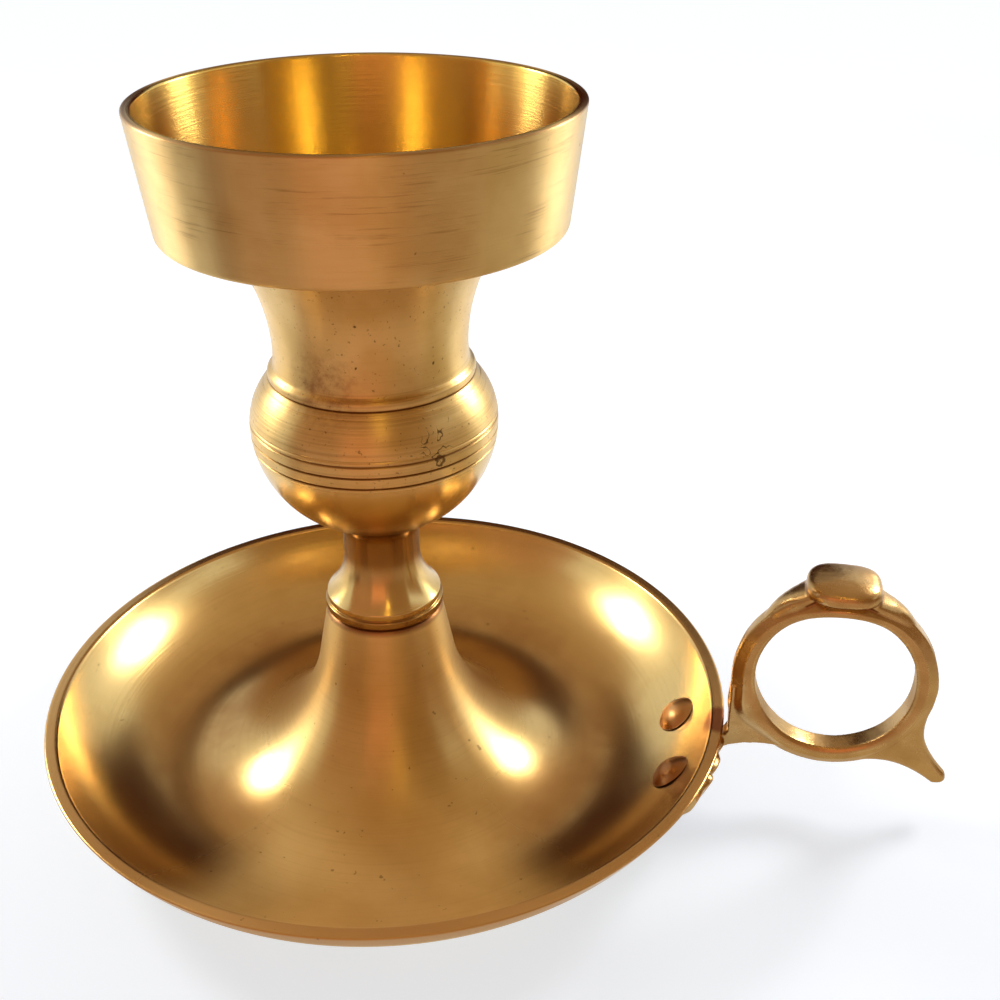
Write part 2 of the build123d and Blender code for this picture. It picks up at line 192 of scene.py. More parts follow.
def latheTree():
    tree = bpy.data.node_groups.new("turnOnLathe", "GeometryNodeTree")
    tree.is_modifier = True
    for name, kind in (("Profile", "NodeSocketGeometry"), ("Segments", "NodeSocketInt"),
                       ("Finish", "NodeSocketMaterial")):
        tree.interface.new_socket(name, in_out="INPUT", socket_type=kind)
    tree.interface.new_socket("Turned", in_out="OUTPUT", socket_type="NodeSocketGeometry")
    given = addNode(tree, "NodeGroupInput").outputs
    rows = wire(tree, "GeometryNodeAttributeDomainSize", {"Geometry": given["Profile"]}, out="Point Count")
    columns = wire(tree, "FunctionNodeIntegerMath", {0: given["Segments"], 1: 1}, operation="ADD")
    grid = addNode(tree, "GeometryNodeMeshGrid", {"Vertices X": columns, "Vertices Y": rows})
    index = wire(tree, "GeometryNodeInputIndex")
    row = wire(tree, "FunctionNodeIntegerMath", {0: index, 1: rows}, operation="MODULO")
    column = wire(tree, "FunctionNodeIntegerMath", {0: index, 1: rows}, operation="DIVIDE_FLOOR")
    place = wire(tree, "GeometryNodeInputPosition")
    sampled = addNode(tree, "GeometryNodeSampleIndex", {"Geometry": given["Profile"], "Index": row},
                      data_type="FLOAT_VECTOR")
    tree.links.new(place, [s for s in sampled.inputs if s.name == "Value" and s.enabled][0])
    profile = addNode(tree, "SeparateXYZ", {0: [s for s in sampled.outputs if s.enabled][0]}).outputs
    share = wire(tree, "Math", {0: column, 1: given["Segments"]}, operation="DIVIDE")
    turn = wire(tree, "Math", {0: share, 1: 2 * math.pi}, operation="MULTIPLY")
    cosine = wire(tree, "Math", {0: turn}, operation="COSINE")
    sine = wire(tree, "Math", {0: turn}, operation="SINE")
    x = wire(tree, "Math", {0: profile["X"], 1: cosine}, operation="MULTIPLY")
    y = wire(tree, "Math", {0: profile["X"], 1: sine}, operation="MULTIPLY")
    turned = wire(tree, "CombineXYZ", {0: x, 1: y, 2: profile["Z"]})
    shaped = addNode(tree, "GeometryNodeSetPosition", {"Geometry": grid.outputs["Mesh"], "Position": turned})
    mapped = addNode(tree, "GeometryNodeStoreNamedAttribute", {"Geometry": shaped.outputs[0], "Name": "UVMap"},
                     data_type="FLOAT2", domain="CORNER")
    tree.links.new(grid.outputs["UV Map"], [s for s in mapped.inputs if s.name == "Value" and s.enabled][0])
    closed = addNode(tree, "GeometryNodeMergeByDistance", {"Geometry": mapped.outputs[0], "Distance": 1e-6})
    smooth = addNode(tree, "GeometryNodeSetShadeSmooth", {"Geometry": closed.outputs[0]})
    real = addNode(tree, "GeometryNodeRealizeInstances", {"Geometry": smooth.outputs[0]})
    painted = addNode(tree, "GeometryNodeSetMaterial", {"Geometry": real.outputs[0], "Material": given["Finish"]})
    addNode(tree, "NodeGroupOutput", {0: painted.outputs[0]})
    return tree


def grow(name, points, tree, values, marks=None):   # runs a tree on a few points, keeps a plain mesh
    mesh = bpy.data.meshes.new(name)
    mesh.from_pydata(points, [(i, i + 1) for i in range(len(points) - 1)], [])
    for mark, vectors in (marks or {}).items():
        layer = mesh.attributes.new(mark, "FLOAT_VECTOR", "POINT")
        for item, vector in zip(layer.data, vectors):
            item.vector = vector
    piece = bpy.data.objects.new(name, mesh)
    scene.collection.objects.link(piece)
    modifier = piece.modifiers.new(tree.name, "NODES")
    modifier.node_group = tree
    sockets = {s.name: s.identifier for s in tree.interface.items_tree
               if s.item_type == "SOCKET" and s.in_out == "INPUT"}
    for key, value in values.items():
        modifier[sockets[key]] = value
    settle(piece)
    return piece


def settle(piece):   # modifiers into the mesh, doubles merged, faces turned outwards
    bpy.context.view_layer.update()
    graph = bpy.context.evaluated_depsgraph_get()
    made = bpy.data.meshes.new_from_object(piece.evaluated_get(graph), preserve_all_data_layers=True,
                                           depsgraph=graph)
    piece.modifiers.clear()
    piece.data = made
    shell = bmesh.new()
    shell.from_mesh(made)
    bmesh.ops.remove_doubles(shell, verts=shell.verts, dist=1e-6)
    bmesh.ops.dissolve_degenerate(shell, edges=shell.edges, dist=1e-7)
    bmesh.ops.recalc_face_normals(shell, faces=shell.faces)
    shell.to_mesh(made)
    shell.free()
    made.polygons.foreach_set("use_smooth", [True] * len(made.polygons))
    made.name = piece.name


def turnPiece(name, rows, segments, finish):
    points = [(r * mm, 0, z * mm) for r, z in rows]
    return grow(name, points, lathe, {"Segments": segments, "Finish": finish})


def place(piece, slot, *nodes):   # the piece stands for these nodes of the frame
    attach(piece, "root")
    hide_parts(*nodes)
    print(f"{piece.name}: {len(piece.data.polygons)} faces")


lathe = latheTree()


# Saucer

saucerSizes = {   # millimetres
    "radius": 44.0, "height": 10.5, "wall": 1.5, "trough": 26.5, "facing": 0.25,
    "coneRadius": 7.3, "coneHeight": 23.4, "coneSweep": 18.1, "web": 2.0, "hole": 4.05,
    "corner": 0.4, "step": 0.55, "segments": 288,
}
saucerFinish = {
    # the red-brown paints a dark reflection in the trough
    "brass": "#D8B776", "cloud": "#CFAC6A", "tarnishAndShade": "#8A5230", "troughReflection": "#8C4A28",
    "rim": "#BE9158", "speck": "#4E331B",
    "score": "#9A743F", "scoring": 0.1,   # how much the fine rings darken it
    "cloudSize": 9.0,     # mm
    "linePitch": 0.3,     # mm, drawn a little coarser than the real cut so that it shows
    "roughness": (0.21, 0.27),
    "lineDepth": 0.008,   # mm
    "scuff": (7.0, -36.5, 3.5), "scuffSize": (17.0, 28.0), "scuffed": 0.52,   # mm, rubbed dull at the front
    "streak": (26.0, 15.0),   # mm from the axis: glints grow long on the cone inside this
    # mm where a finish starts and is full: from the axis, from the trough, and in height
    "rimFrom": (42.0, 42.5), "coneFrom": (19, 10), "troughSpan": (10, 2), "jointFrom": (22.6, 23.2),
    "stainAndShade": (43.6, -0.4, 10.5), "loopShadeSize": 2.9,   # mm, brown painted shade on the rim where the loop is fixed
}


def saucerDish(sizes):   # centre and inner radius of the dish's section
    run, depth = sizes["radius"] - sizes["trough"], sizes["height"] + sizes["facing"]
    under = (run ** 2 + depth ** 2) / (2 * depth)
    return (sizes["trough"], under - sizes["facing"]), under - sizes["wall"]


def saucerRows(sizes):
    step, trough, top = sizes["step"], sizes["trough"], (sizes["coneRadius"], sizes["coneHeight"])
    centre, inside = saucerDish(sizes)
    under = inside + sizes["wall"]
    rimIn = trough + math.sqrt(inside ** 2 - (centre[1] - sizes["height"]) ** 2)
    sweep, sweepUnder = sizes["coneSweep"], sizes["coneSweep"] + sizes["wall"]
    sweepCentre = (trough, sweepUnder - sizes["facing"])
    flank = lowAngle(sweepCentre, top) + math.degrees(math.acos(sweep / math.dist(sweepCentre, top)))
    footOut = (trough + math.sqrt(under ** 2 - centre[1] ** 2), 0)
    footIn = (trough - math.sqrt(sweepUnder ** 2 - sweepCentre[1] ** 2), 0)
    web = sizes["coneHeight"] - sizes["web"]
    flankTop = arcRows(sweepCentre, sweep, flank, 0, step)
    flankUnder = arcRows(sweepCentre, sweepUnder, lowAngle(sweepCentre, footIn), flank, step)
    slope = (top[0] - flankTop[0][0]) / (top[1] - flankTop[0][1])
    low = flankUnder[-1]
    rows = [(sizes["hole"], sizes["coneHeight"]), top] + flankTop
    rows += arcRows(centre, inside, 0, lowAngle(centre, (rimIn, sizes["height"])), step)[:-2]
    rows += [(rimIn, sizes["height"]), (sizes["radius"], sizes["height"])]
    rows += arcRows(centre, under, lowAngle(centre, (sizes["radius"], sizes["height"])),
                    lowAngle(centre, footOut), step)[3:]   # room for the rim's broken edge
    rows += [footOut, footIn] + flankUnder
    rows += [(low[0] + slope * (web - low[1]), web), (sizes["hole"], web), (sizes["hole"], sizes["coneHeight"])]
    return easeCorners(rows, sizes["corner"])


def saucerBrass(finish, sizes):
    # turned brass, satin polished and handled: soft wide glints, faint rings, a brown painted dark reflection in the
    # trough, painted shade on the rim by the loop
    material, tree = startMaterial("satinTurnedBrass")
    place, radius, height, around = turnedCoords(tree)
    lines = toolLines(tree, radius, height, around, finish["linePitch"] * mm, 1.2)
    clouds, color = cloudedBrass(tree, place, finish, 4.0, 0.55)
    scored = wire(tree, "MapRange", {0: lines, 1: 0.5, 2: 0.3, 3: 0.0, 4: finish["scoring"]})
    offTrough = apartFrom(tree, radius, sizes["trough"] * mm)
    rubbed = awayFrom(tree, place, finish["scuff"])
    rubbed = wire(tree, "MapRange", {0: rubbed, 1: finish["scuffSize"][1] * mm, 2: finish["scuffSize"][0] * mm},
                  interpolation_type="SMOOTHSTEP")
    unrubbed = wire(tree, "Math", {0: 1.0, 1: rubbed}, operation="SUBTRACT")
    # painted dark reflection in the trough, left and right; left out at the rubbed front
    trough = wire(tree, "MapRange", {0: offTrough, 1: finish["troughSpan"][0] * mm,
                                     2: finish["troughSpan"][1] * mm, 3: 0.0, 4: 0.6},
                  interpolation_type="SMOOTHSTEP")
    trough = wire(tree, "Math", {0: trough, 1: clouds}, operation="MULTIPLY")
    trough = wire(tree, "Math", {0: trough, 1: unrubbed}, operation="MULTIPLY")
    rim = wire(tree, "MapRange", {0: radius, 1: finish["rimFrom"][0] * mm, 2: finish["rimFrom"][1] * mm, 3: 0.0,
                                  4: 0.75})
    # painted shade on the rim beside the loop's root; below, the dark joint under the stem
    off = awayFrom(tree, place, finish["stainAndShade"])
    off = wire(tree, "Math", {0: clouds, 1: 1.5 * mm, 2: off}, operation="MULTIPLY_ADD")
    stainAndShade = wire(tree, "MapRange", {0: off, 1: (finish["loopShadeSize"] + 0.9) * mm, 2: finish["loopShadeSize"] * mm, 3: 0.0,
                                    4: 0.95})
    joint = wire(tree, "MapRange", {0: height, 1: finish["jointFrom"][0] * mm, 2: finish["jointFrom"][1] * mm, 3: 0.0,
                                    4: 0.85})
    stainAndShade = wire(tree, "Math", {0: stainAndShade, 1: joint}, operation="MAXIMUM")   # and under the stem
    grains = wire(tree, "TexNoise", {"Vector": place, "Scale": 1 / (0.9 * mm), "Detail": 2.0})
    specks = wire(tree, "MapRange", {0: grains, 1: 0.71, 2: 0.76, 3: 0.0, 4: 0.5})
    color = layColors(tree, color, finish, ((scored, "score"), (trough, "troughReflection"), (rim, "rim"), (stainAndShade, "tarnishAndShade"),
                                            (specks, "speck")))
    rough = wire(tree, "MapRange", {0: clouds, 1: 0.3, 2: 0.7, 3: finish["roughness"][0], 4: finish["roughness"][1]})
    rough = wire(tree, "Mix", {0: rubbed, 2: rough, 3: finish["scuffed"]})
    onCone = wire(tree, "MapRange", {0: radius, 1: finish["coneFrom"][0] * mm, 2: finish["coneFrom"][1] * mm, 3: 0.0,
                                     4: 0.14})
    rough = wire(tree, "Math", {0: rough, 1: onCone}, operation="ADD")
    streak = wire(tree, "MapRange", {0: radius, 1: finish["streak"][0] * mm, 2: finish["streak"][1] * mm, 3: 0.3,
                                     4: 0.8})
    bump = wire(tree, "Bump", {"Strength": 1.0, "Distance": finish["lineDepth"] * mm, "Height": lines})
    endTurned(tree, color, rough, streak, bump)
    return material


saucer = turnPiece("saucerTurned", saucerRows(saucerSizes), saucerSizes["segments"],
                   saucerBrass(saucerFinish, saucerSizes))
place(saucer, "saucer_brass", "saucer")


# Stem

stemSizes = {   # millimetres; heights above the cone's top, where the stem stands
    "seat": 23.4, "bandRadius": 7.4, "bandHeight": 1.25, "quirkDepth": 0.1, "quirkHeight": 0.3, "undercut": 0.5,
    "knopRadius": 7.15, "knopLip": 0.7, "waistRadius": 4.7, "waistHeight": 8.0, "waistRise": 2.6,
    "bulbRadius": 14.6, "bulbHeight": 25.9, "bulbInset": 1.0, "shoulderRadius": 11.6, "shoulderHeight": 32.3,
    "bead": ((0.24, -0.34), (0.0, -0.24), (0.22, -0.13), (0.27, 0.1), (0.27, 0.4), (0.2, 0.65), (0.02, 0.85),
             (-0.2, 1.0), (-0.36, 1.2), (-0.44, 1.5), (-0.48, 1.9)),   # off the shoulder: outwards, upwards
    "beadStand": 0.15, "throatRadius": 11.2, "throatHeight": 35.2,
    "neckRadius": 16.2, "neckHeight": 49.6, "lineHalf": 0.15,
    "lines": ((23.9, 0.3), (25.3, 0.3), (26.65, 0.2), (27.2, 0.1), (31.4, 0.05)),   # height, depth
    "collarRadius": 11.4, "floor": 1.1, "lipRadius": 12.6, "lipHeight": 0.7, "socketRadius": 10.0,
    "socketDepth": 24.0, "pilotRadius": 4.0, "pilotDrop": 1.5, "tapRadius": 2.55, "tapTop": 9.5,
    "corner": 0.18, "step": 0.4, "segments": 224,
}
stemFinish = {
    "brass": "#D8B777", "cloud": "#CBA765", "pit": "#3F2A18", "crease": "#7A4E28",
    "stainAndShade": "#A0744A", "score": "#8E6A3A", "tarnishAndShade": "#8A5F2C",
    "cloudSize": 6.0,       # mm
    "linePitch": 0.24,      # mm, one turn of the tool, drawn a little coarser so that it shows
    "lineDepth": 0.035,     # mm
    "scoring": 0.34,        # how dark the bottoms of the lines are
    "pitSpacing": 2.6,      # mm between pits on the neck
    "roughness": 0.32, "polished": 0.17,
    "flaw": (9.9, -10.3, 51.4), "flawSize": 2.3, "flawPit": (10.2, -10.3, 49.7), "pitSize": 0.5,   # mm, casting fold
    "stained": (-2.4, -11.0, 57.6),   # mm
    # heights in mm where a finish starts and is full
    "tooledFrom": (46.6, 47.4), "neckFrom": (56.5, 59), "footBelow": (25.2, 24.7), "jointBelow": (24.1, 23.6),
    # the middle and spread of the painted shade round the waist
    "waistAt": 34.5, "waistSpan": (7, 2.5),
}


def stemRows(sizes):
    seat, step = sizes["seat"], sizes["step"]
    waistZ, bulbZ = seat + sizes["waistHeight"], seat + sizes["bulbHeight"]
    shoulderZ, throatZ = seat + sizes["shoulderHeight"], seat + sizes["throatHeight"]
    cupZ, quirkZ = seat + sizes["neckHeight"], seat + sizes["bandHeight"]
    knopZ = quirkZ + sizes["quirkHeight"]
    knop = (sizes["knopRadius"], knopZ + sizes["knopLip"])
    waist, bulb, inset = sizes["waistRadius"], sizes["bulbRadius"], sizes["bulbInset"]

    inward, up = knop[0] - waist, waistZ - knop[1]
    flankRadius = (inward ** 2 + up ** 2) / (2 * inward)
    flankCentre = (waist + flankRadius, waistZ)
    between, bulbIn, waistIn = bulbZ - waistZ - sizes["waistRise"], bulb - inset, waist - inset
    hollow = (waistIn ** 2 + between ** 2 - bulbIn ** 2) / (2 * (bulbIn - waistIn))
    hollowCentre, bulbCentre = (waist + hollow, waistZ + sizes["waistRise"]), (inset, bulbZ)
    meet = lowAngle(bulbCentre, hollowCentre)
    drop, rise = bulb - sizes["shoulderRadius"], shoulderZ - bulbZ
    shoulder = (drop ** 2 + rise ** 2) / (2 * drop)
    shoulderCentre = (bulb - shoulder, bulbZ)
    out, tall = sizes["neckRadius"] - sizes["throatRadius"], cupZ - throatZ
    flare = (out ** 2 + tall ** 2) / (2 * out)
    flareCentre = (sizes["throatRadius"] + flare, throatZ)
    beadOut, beadZ = sizes["shoulderRadius"] + sizes["beadStand"], throatZ
    neckFoot = (flareCentre[0] - math.sqrt(flare ** 2 - (throatZ - beadZ) ** 2), beadZ)
    lipZ = cupZ + sizes["floor"]
    lipTop, tapTop, pilotZ = lipZ + sizes["lipHeight"], seat + sizes["tapTop"], seat - sizes["pilotDrop"]

    rows = [(0, tapTop), (sizes["tapRadius"], tapTop), (sizes["tapRadius"], pilotZ), (sizes["pilotRadius"], pilotZ),
            (sizes["pilotRadius"], seat), (sizes["bandRadius"] - sizes["undercut"], seat),
            (sizes["bandRadius"] - sizes["undercut"], seat + 0.16), (sizes["bandRadius"], seat + 0.34),
            (sizes["bandRadius"], quirkZ),
            (knop[0] - sizes["quirkDepth"], quirkZ + sizes["quirkHeight"] / 2), (knop[0], knopZ), knop]
    rows += arcRows(flankCentre, flankRadius, lowAngle(flankCentre, knop), -90, step)[1:]
    rows += arcRows(hollowCentre, hollow, -90, meet - 180, step)[1:]
    body = arcRows(bulbCentre, bulbIn, meet, 90, step)[1:]
    top = lowAngle(shoulderCentre, (sizes["shoulderRadius"], shoulderZ))
    body += arcRows(shoulderCentre, shoulder, 90, top, step)[1:]
    for height, deep in sizes["lines"]:   # the turned lines, cut into the bulb's curve
        z, half = seat + height, sizes["lineHalf"]
        edge = [sizes["bulbInset"] + math.sqrt(bulbIn ** 2 - (z + s - bulbZ) ** 2) if z + s < bulbZ else
                shoulderCentre[0] + math.sqrt(shoulder ** 2 - (z + s - bulbZ) ** 2) for s in (-half, 0, half)]
        cut = [(edge[0], z - half), (edge[1] - deep, z), (edge[2], z + half)]
        body = [row for row in body if abs(row[1] - z) > half * 1.2] + cut
    rows += [row for row in sorted(body, key=lambda row: row[1]) if row[1] < shoulderZ - 0.5]
    # a soft bead under the neck, parted from the bulb by a fine groove
    rows += [(beadOut + lift, shoulderZ + up) for lift, up in sizes["bead"]]
    rows += arcRows(flareCentre, flare, lowAngle(flareCentre, neckFoot),
                    lowAngle(flareCentre, (sizes["neckRadius"], cupZ)), step)
    rows += [(sizes["collarRadius"], cupZ), (sizes["collarRadius"], lipZ), (sizes["lipRadius"], lipZ),
             (sizes["lipRadius"] - sizes["lipHeight"] / 2, lipTop), (sizes["socketRadius"], lipTop),
             (sizes["socketRadius"], lipTop - sizes["socketDepth"]), (0, lipTop - sizes["socketDepth"])]
    return easeCorners(rows, sizes["corner"])


def stemBrass(finish, sizes):
    # brass casting turned all over: fine tool rings on bulb and neck, a few open pits, polished below
    material, tree = startMaterial("turnedCastBrass")
    place, radius, height, around = turnedCoords(tree)
    lines = toolLines(tree, radius, height, around, finish["linePitch"] * mm, 0.8, 1.0)
    clouds, color = cloudedBrass(tree, place, finish, 4.0)
    # the bulb and all above it show the tool
    upper = wire(tree, "MapRange", {0: height, 1: finish["tooledFrom"][0] * mm, 2: finish["tooledFrom"][1] * mm})
    scored = wire(tree, "MapRange", {0: lines, 1: 0.52, 2: 0.28, 3: 0.0, 4: finish["scoring"]})
    onNeck = wire(tree, "MapRange", {0: height, 1: finish["neckFrom"][0] * mm, 2: finish["neckFrom"][1] * mm})
    tooled = wire(tree, "MapRange", {0: onNeck, 3: 1.0, 4: 0.12})   # the neck is rubbed smooth
    scored = wire(tree, "Math", {0: scored, 1: upper}, operation="MULTIPLY")
    scored = wire(tree, "Math", {0: scored, 1: tooled}, operation="MULTIPLY")
    # pits: small cells on the neck only
    cells = wire(tree, "TexVoronoi", {"Vector": place, "Scale": 1 / (finish["pitSpacing"] * mm), "Randomness": 1.0},
                 out="Distance")
    grain = wire(tree, "TexNoise", {"Vector": place, "Scale": 1 / (0.5 * mm), "Detail": 2.0})
    ragged = wire(tree, "Math", {0: grain, 1: 0.22, 2: cells}, operation="MULTIPLY_ADD")
    pits = wire(tree, "MapRange", {0: ragged, 1: 0.185, 2: 0.15})
    pits = wire(tree, "Math", {0: pits, 1: onNeck}, operation="MULTIPLY")
    # fine freckles, and a brown stain at the foot of the neck
    freckle = wire(tree, "TexNoise", {"Vector": place, "Scale": 1 / (0.42 * mm), "Detail": 2.0})
    freckle = wire(tree, "MapRange", {0: freckle, 1: 0.66, 2: 0.74, 3: 0.0, 4: 0.55})
    freckle = wire(tree, "Math", {0: freckle, 1: upper}, operation="MULTIPLY")
    apart = awayFrom(tree, place, finish["stained"])
    stainAndShade = wire(tree, "MapRange", {0: apart, 1: 6.5 * mm, 2: 1.0 * mm}, interpolation_type="SMOOTHSTEP")
    blotch = wire(tree, "TexNoise", {"Vector": place, "Scale": 1 / (1.1 * mm), "Detail": 5.0, "Roughness": 0.7})
    blotch = wire(tree, "MapRange", {0: blotch, 1: 0.4, 2: 0.66, 3: 0.0, 4: 0.75})
    stainAndShade = wire(tree, "Math", {0: stainAndShade, 1: blotch}, operation="MULTIPLY")
    # the fold: crooked hairlines over a small ragged pit
    crooked = wire(tree, "TexNoise", {"Vector": place, "Scale": 1 / (1.7 * mm), "Detail": 1.5})
    crooked = apartFrom(tree, crooked, 0.5)
    hair = wire(tree, "MapRange", {0: crooked, 1: 0.02, 2: 0.007})
    off = awayFrom(tree, place, finish["flaw"])
    within = wire(tree, "MapRange", {0: off, 1: finish["flawSize"] * mm, 2: finish["flawSize"] * 0.75 * mm})
    fold = wire(tree, "Math", {0: hair, 1: within}, operation="MULTIPLY")
    core = awayFrom(tree, place, finish["flawPit"])
    core = wire(tree, "Math", {0: grain, 1: 0.9 * mm, 2: core}, operation="MULTIPLY_ADD")
    core = apartFrom(tree, core, (finish["pitSize"] + 0.45) * mm)
    core = wire(tree, "MapRange", {0: core, 1: 0.24 * mm, 2: 0.1 * mm})
    fold = wire(tree, "Math", {0: fold, 1: core}, operation="MAXIMUM")
    marks = wire(tree, "Math", {0: pits, 1: fold}, operation="MAXIMUM")
    dark = wire(tree, "Math", {0: marks, 1: 0.8}, operation="MULTIPLY")
    layers = [(scored, "score"), (stainAndShade, "stainAndShade"), (freckle, "pit"), (dark, "pit")]
    # brown in the cut lines; round the waist and below the bulb, a painted shade
    for cut, _ in sizes["lines"][:3] + ((sizes["shoulderHeight"] - 0.24, 0),):
        off = apartFrom(tree, height, (sizes["seat"] + cut) * mm)
        off = wire(tree, "MapRange", {0: off, 1: 0.17 * mm, 2: 0.06 * mm, 3: 0.0, 4: 0.75})
        layers.append((off, "crease"))
    # painted shade round the waist, under the bulb
    waist = apartFrom(tree, height, finish["waistAt"] * mm)
    waist = wire(tree, "MapRange", {0: waist, 1: finish["waistSpan"][0] * mm, 2: finish["waistSpan"][1] * mm, 3: 0.0,
                                    4: 0.85}, interpolation_type="SMOOTHSTEP")
    # tarnish on the foot band, dark at its bottom where the stem stands on the cone
    foot = wire(tree, "MapRange", {0: height, 1: finish["footBelow"][0] * mm, 2: finish["footBelow"][1] * mm, 3: 0.0,
                                   4: 0.6})
    joint = wire(tree, "MapRange", {0: height, 1: finish["jointBelow"][0] * mm, 2: finish["jointBelow"][1] * mm,
                                    3: 0.0, 4: 0.9})
    layers += [(waist, "tarnishAndShade"), (foot, "tarnishAndShade"), (joint, "crease")]
    color = layColors(tree, color, finish, layers)
    rough = wire(tree, "MapRange", {0: upper, 3: finish["polished"], 4: finish["roughness"]})
    rough = wire(tree, "Math", {0: clouds, 1: 0.10, 2: rough}, operation="MULTIPLY_ADD")
    depth = wire(tree, "Math", {0: upper, 1: tooled}, operation="MULTIPLY")
    ridges = wire(tree, "Math", {0: lines, 1: depth}, operation="MULTIPLY")
    bump = wire(tree, "Bump", {"Strength": 1.0, "Distance": finish["lineDepth"] * mm, "Height": ridges})
    bump = wire(tree, "Bump", {"Strength": 1.0, "Distance": 0.015 * mm, "Height": marks, "Normal": bump}, invert=True)
    endTurned(tree, color, rough, 0.75, bump)
    return material


stem = turnPiece("stemTurned", stemRows(stemSizes), stemSizes["segments"], stemBrass(stemFinish, stemSizes))
place(stem, "stem_brass", "stem")


# Cup

cupSizes = {   # millimetres
    "base": 73.0, "baseRadius": 22.5, "rimRadius": 24.2, "height": 13.3, "wall": 1.1, "floor": 1.1,
    "hole": 11.45, "corner": 0.5, "rimCorner": 0.22, "segments": 256,
}
cupFinish = {
    "brass": "#D8B878", "cloud": "#CDA968", "rim": "#B88A55", "speck": "#4A301C",
    # the inside's yellower colour is a painted inter-reflection
    "score": "#8F6A3C", "insideReflectionBrass": "#DDBA62",
    "rimFrom": (86.05, 86.2),   # mm, height
    "cloudSize": 7.0,     # mm
    "brushPitch": 0.22,   # mm between brush lines, drawn a little coarser than the real grit
    "brushDepth": 0.022,  # mm
    "roughness": (0.34, 0.44), "inside": 0.25,
}


def cupRows(sizes):
    top, floorTop = sizes["base"] + sizes["height"], sizes["base"] + sizes["floor"]
    lean = (sizes["rimRadius"] - sizes["baseRadius"]) / sizes["height"]
    across = sizes["wall"] * math.hypot(1, lean)
    outer = [(sizes["baseRadius"], sizes["base"]), (sizes["rimRadius"], top)]
    inner = [(sizes["rimRadius"] - across, top), (sizes["baseRadius"] - across + lean * sizes["floor"], floorTop)]
    lower = easeCorners([(sizes["hole"], sizes["base"]), *outer], sizes["corner"])
    upper = easeCorners([outer[0], outer[1], inner[0], inner[1]], sizes["rimCorner"])
    floor = easeCorners([inner[0], inner[1], (sizes["hole"], floorTop), (sizes["hole"], sizes["base"])], 0.4)
    return lower[:-1] + upper[1:-1] + floor[1:]


def cupBrass(finish, sizes):
    # turned brass, brushed round with fine grit: light runs up and down it in bands
    material, tree = startMaterial("brushedTurnedBrass")
    place, radius, height, around = turnedCoords(tree)
    lines = toolLines(tree, radius, height, around, finish["brushPitch"] * mm, 3.5, 3.0)
    clouds, color = cloudedBrass(tree, place, finish, 3.0)
    rim = wire(tree, "MapRange", {0: height, 1: finish["rimFrom"][0] * mm, 2: finish["rimFrom"][1] * mm, 3: 0.0,
                                  4: 0.7})
    grains = wire(tree, "TexNoise", {"Vector": place, "Scale": 1 / (1.1 * mm), "Detail": 1.0})
    specks = wire(tree, "MapRange", {0: grains, 1: 0.79, 2: 0.83, 3: 0.0, 4: 0.6})
    color = layColors(tree, color, finish, ((rim, "rim"), (specks, "speck")))
    rough = wire(tree, "MapRange", {0: lines, 1: 0.3, 2: 0.7, 3: finish["roughness"][0], 4: finish["roughness"][1]})
    # the inside of the wall is cut finer: less rough, fewer scores
    lean = (sizes["rimRadius"] - sizes["baseRadius"]) / sizes["height"]
    slant = wire(tree, "Math", {0: height, 1: -lean, 2: radius}, operation="MULTIPLY_ADD")
    middle = sizes["baseRadius"] - sizes["wall"] / 2 - sizes["base"] * lean
    outside = wire(tree, "MapRange", {0: slant, 1: (middle - 0.2) * mm, 2: (middle + 0.2) * mm})
    rough = wire(tree, "Mix", {0: outside, 2: finish["inside"], 3: rough})
    scored = wire(tree, "MapRange", {0: lines, 1: 0.46, 2: 0.28, 3: 0.0, 4: 0.65})
    patches = wire(tree, "MapRange", {0: clouds, 1: 0.42, 2: 0.62, 3: 0.15, 4: 1.0})
    scored = wire(tree, "Math", {0: scored, 1: patches}, operation="MULTIPLY")
    scored = wire(tree, "Math", {0: scored, 1: outside}, operation="MULTIPLY")
    # inside the wall, a yellower, brighter colour: painted inter-reflection
    color = wire(tree, "Mix", {0: outside, 6: hexColor(finish["insideReflectionBrass"]), 7: color}, out=2, data_type="RGBA")
    color = layColors(tree, color, finish, ((scored, "score"),))
    bump = wire(tree, "Bump", {"Strength": 1.0, "Distance": finish["brushDepth"] * mm, "Height": lines})
    endTurned(tree, color, rough, 0.93, bump)
    return material


cup = turnPiece("candleCupTurned", cupRows(cupSizes), cupSizes["segments"], cupBrass(cupFinish, cupSizes))
place(cup, "cup_brass", "candle_cup")


# Finger loop

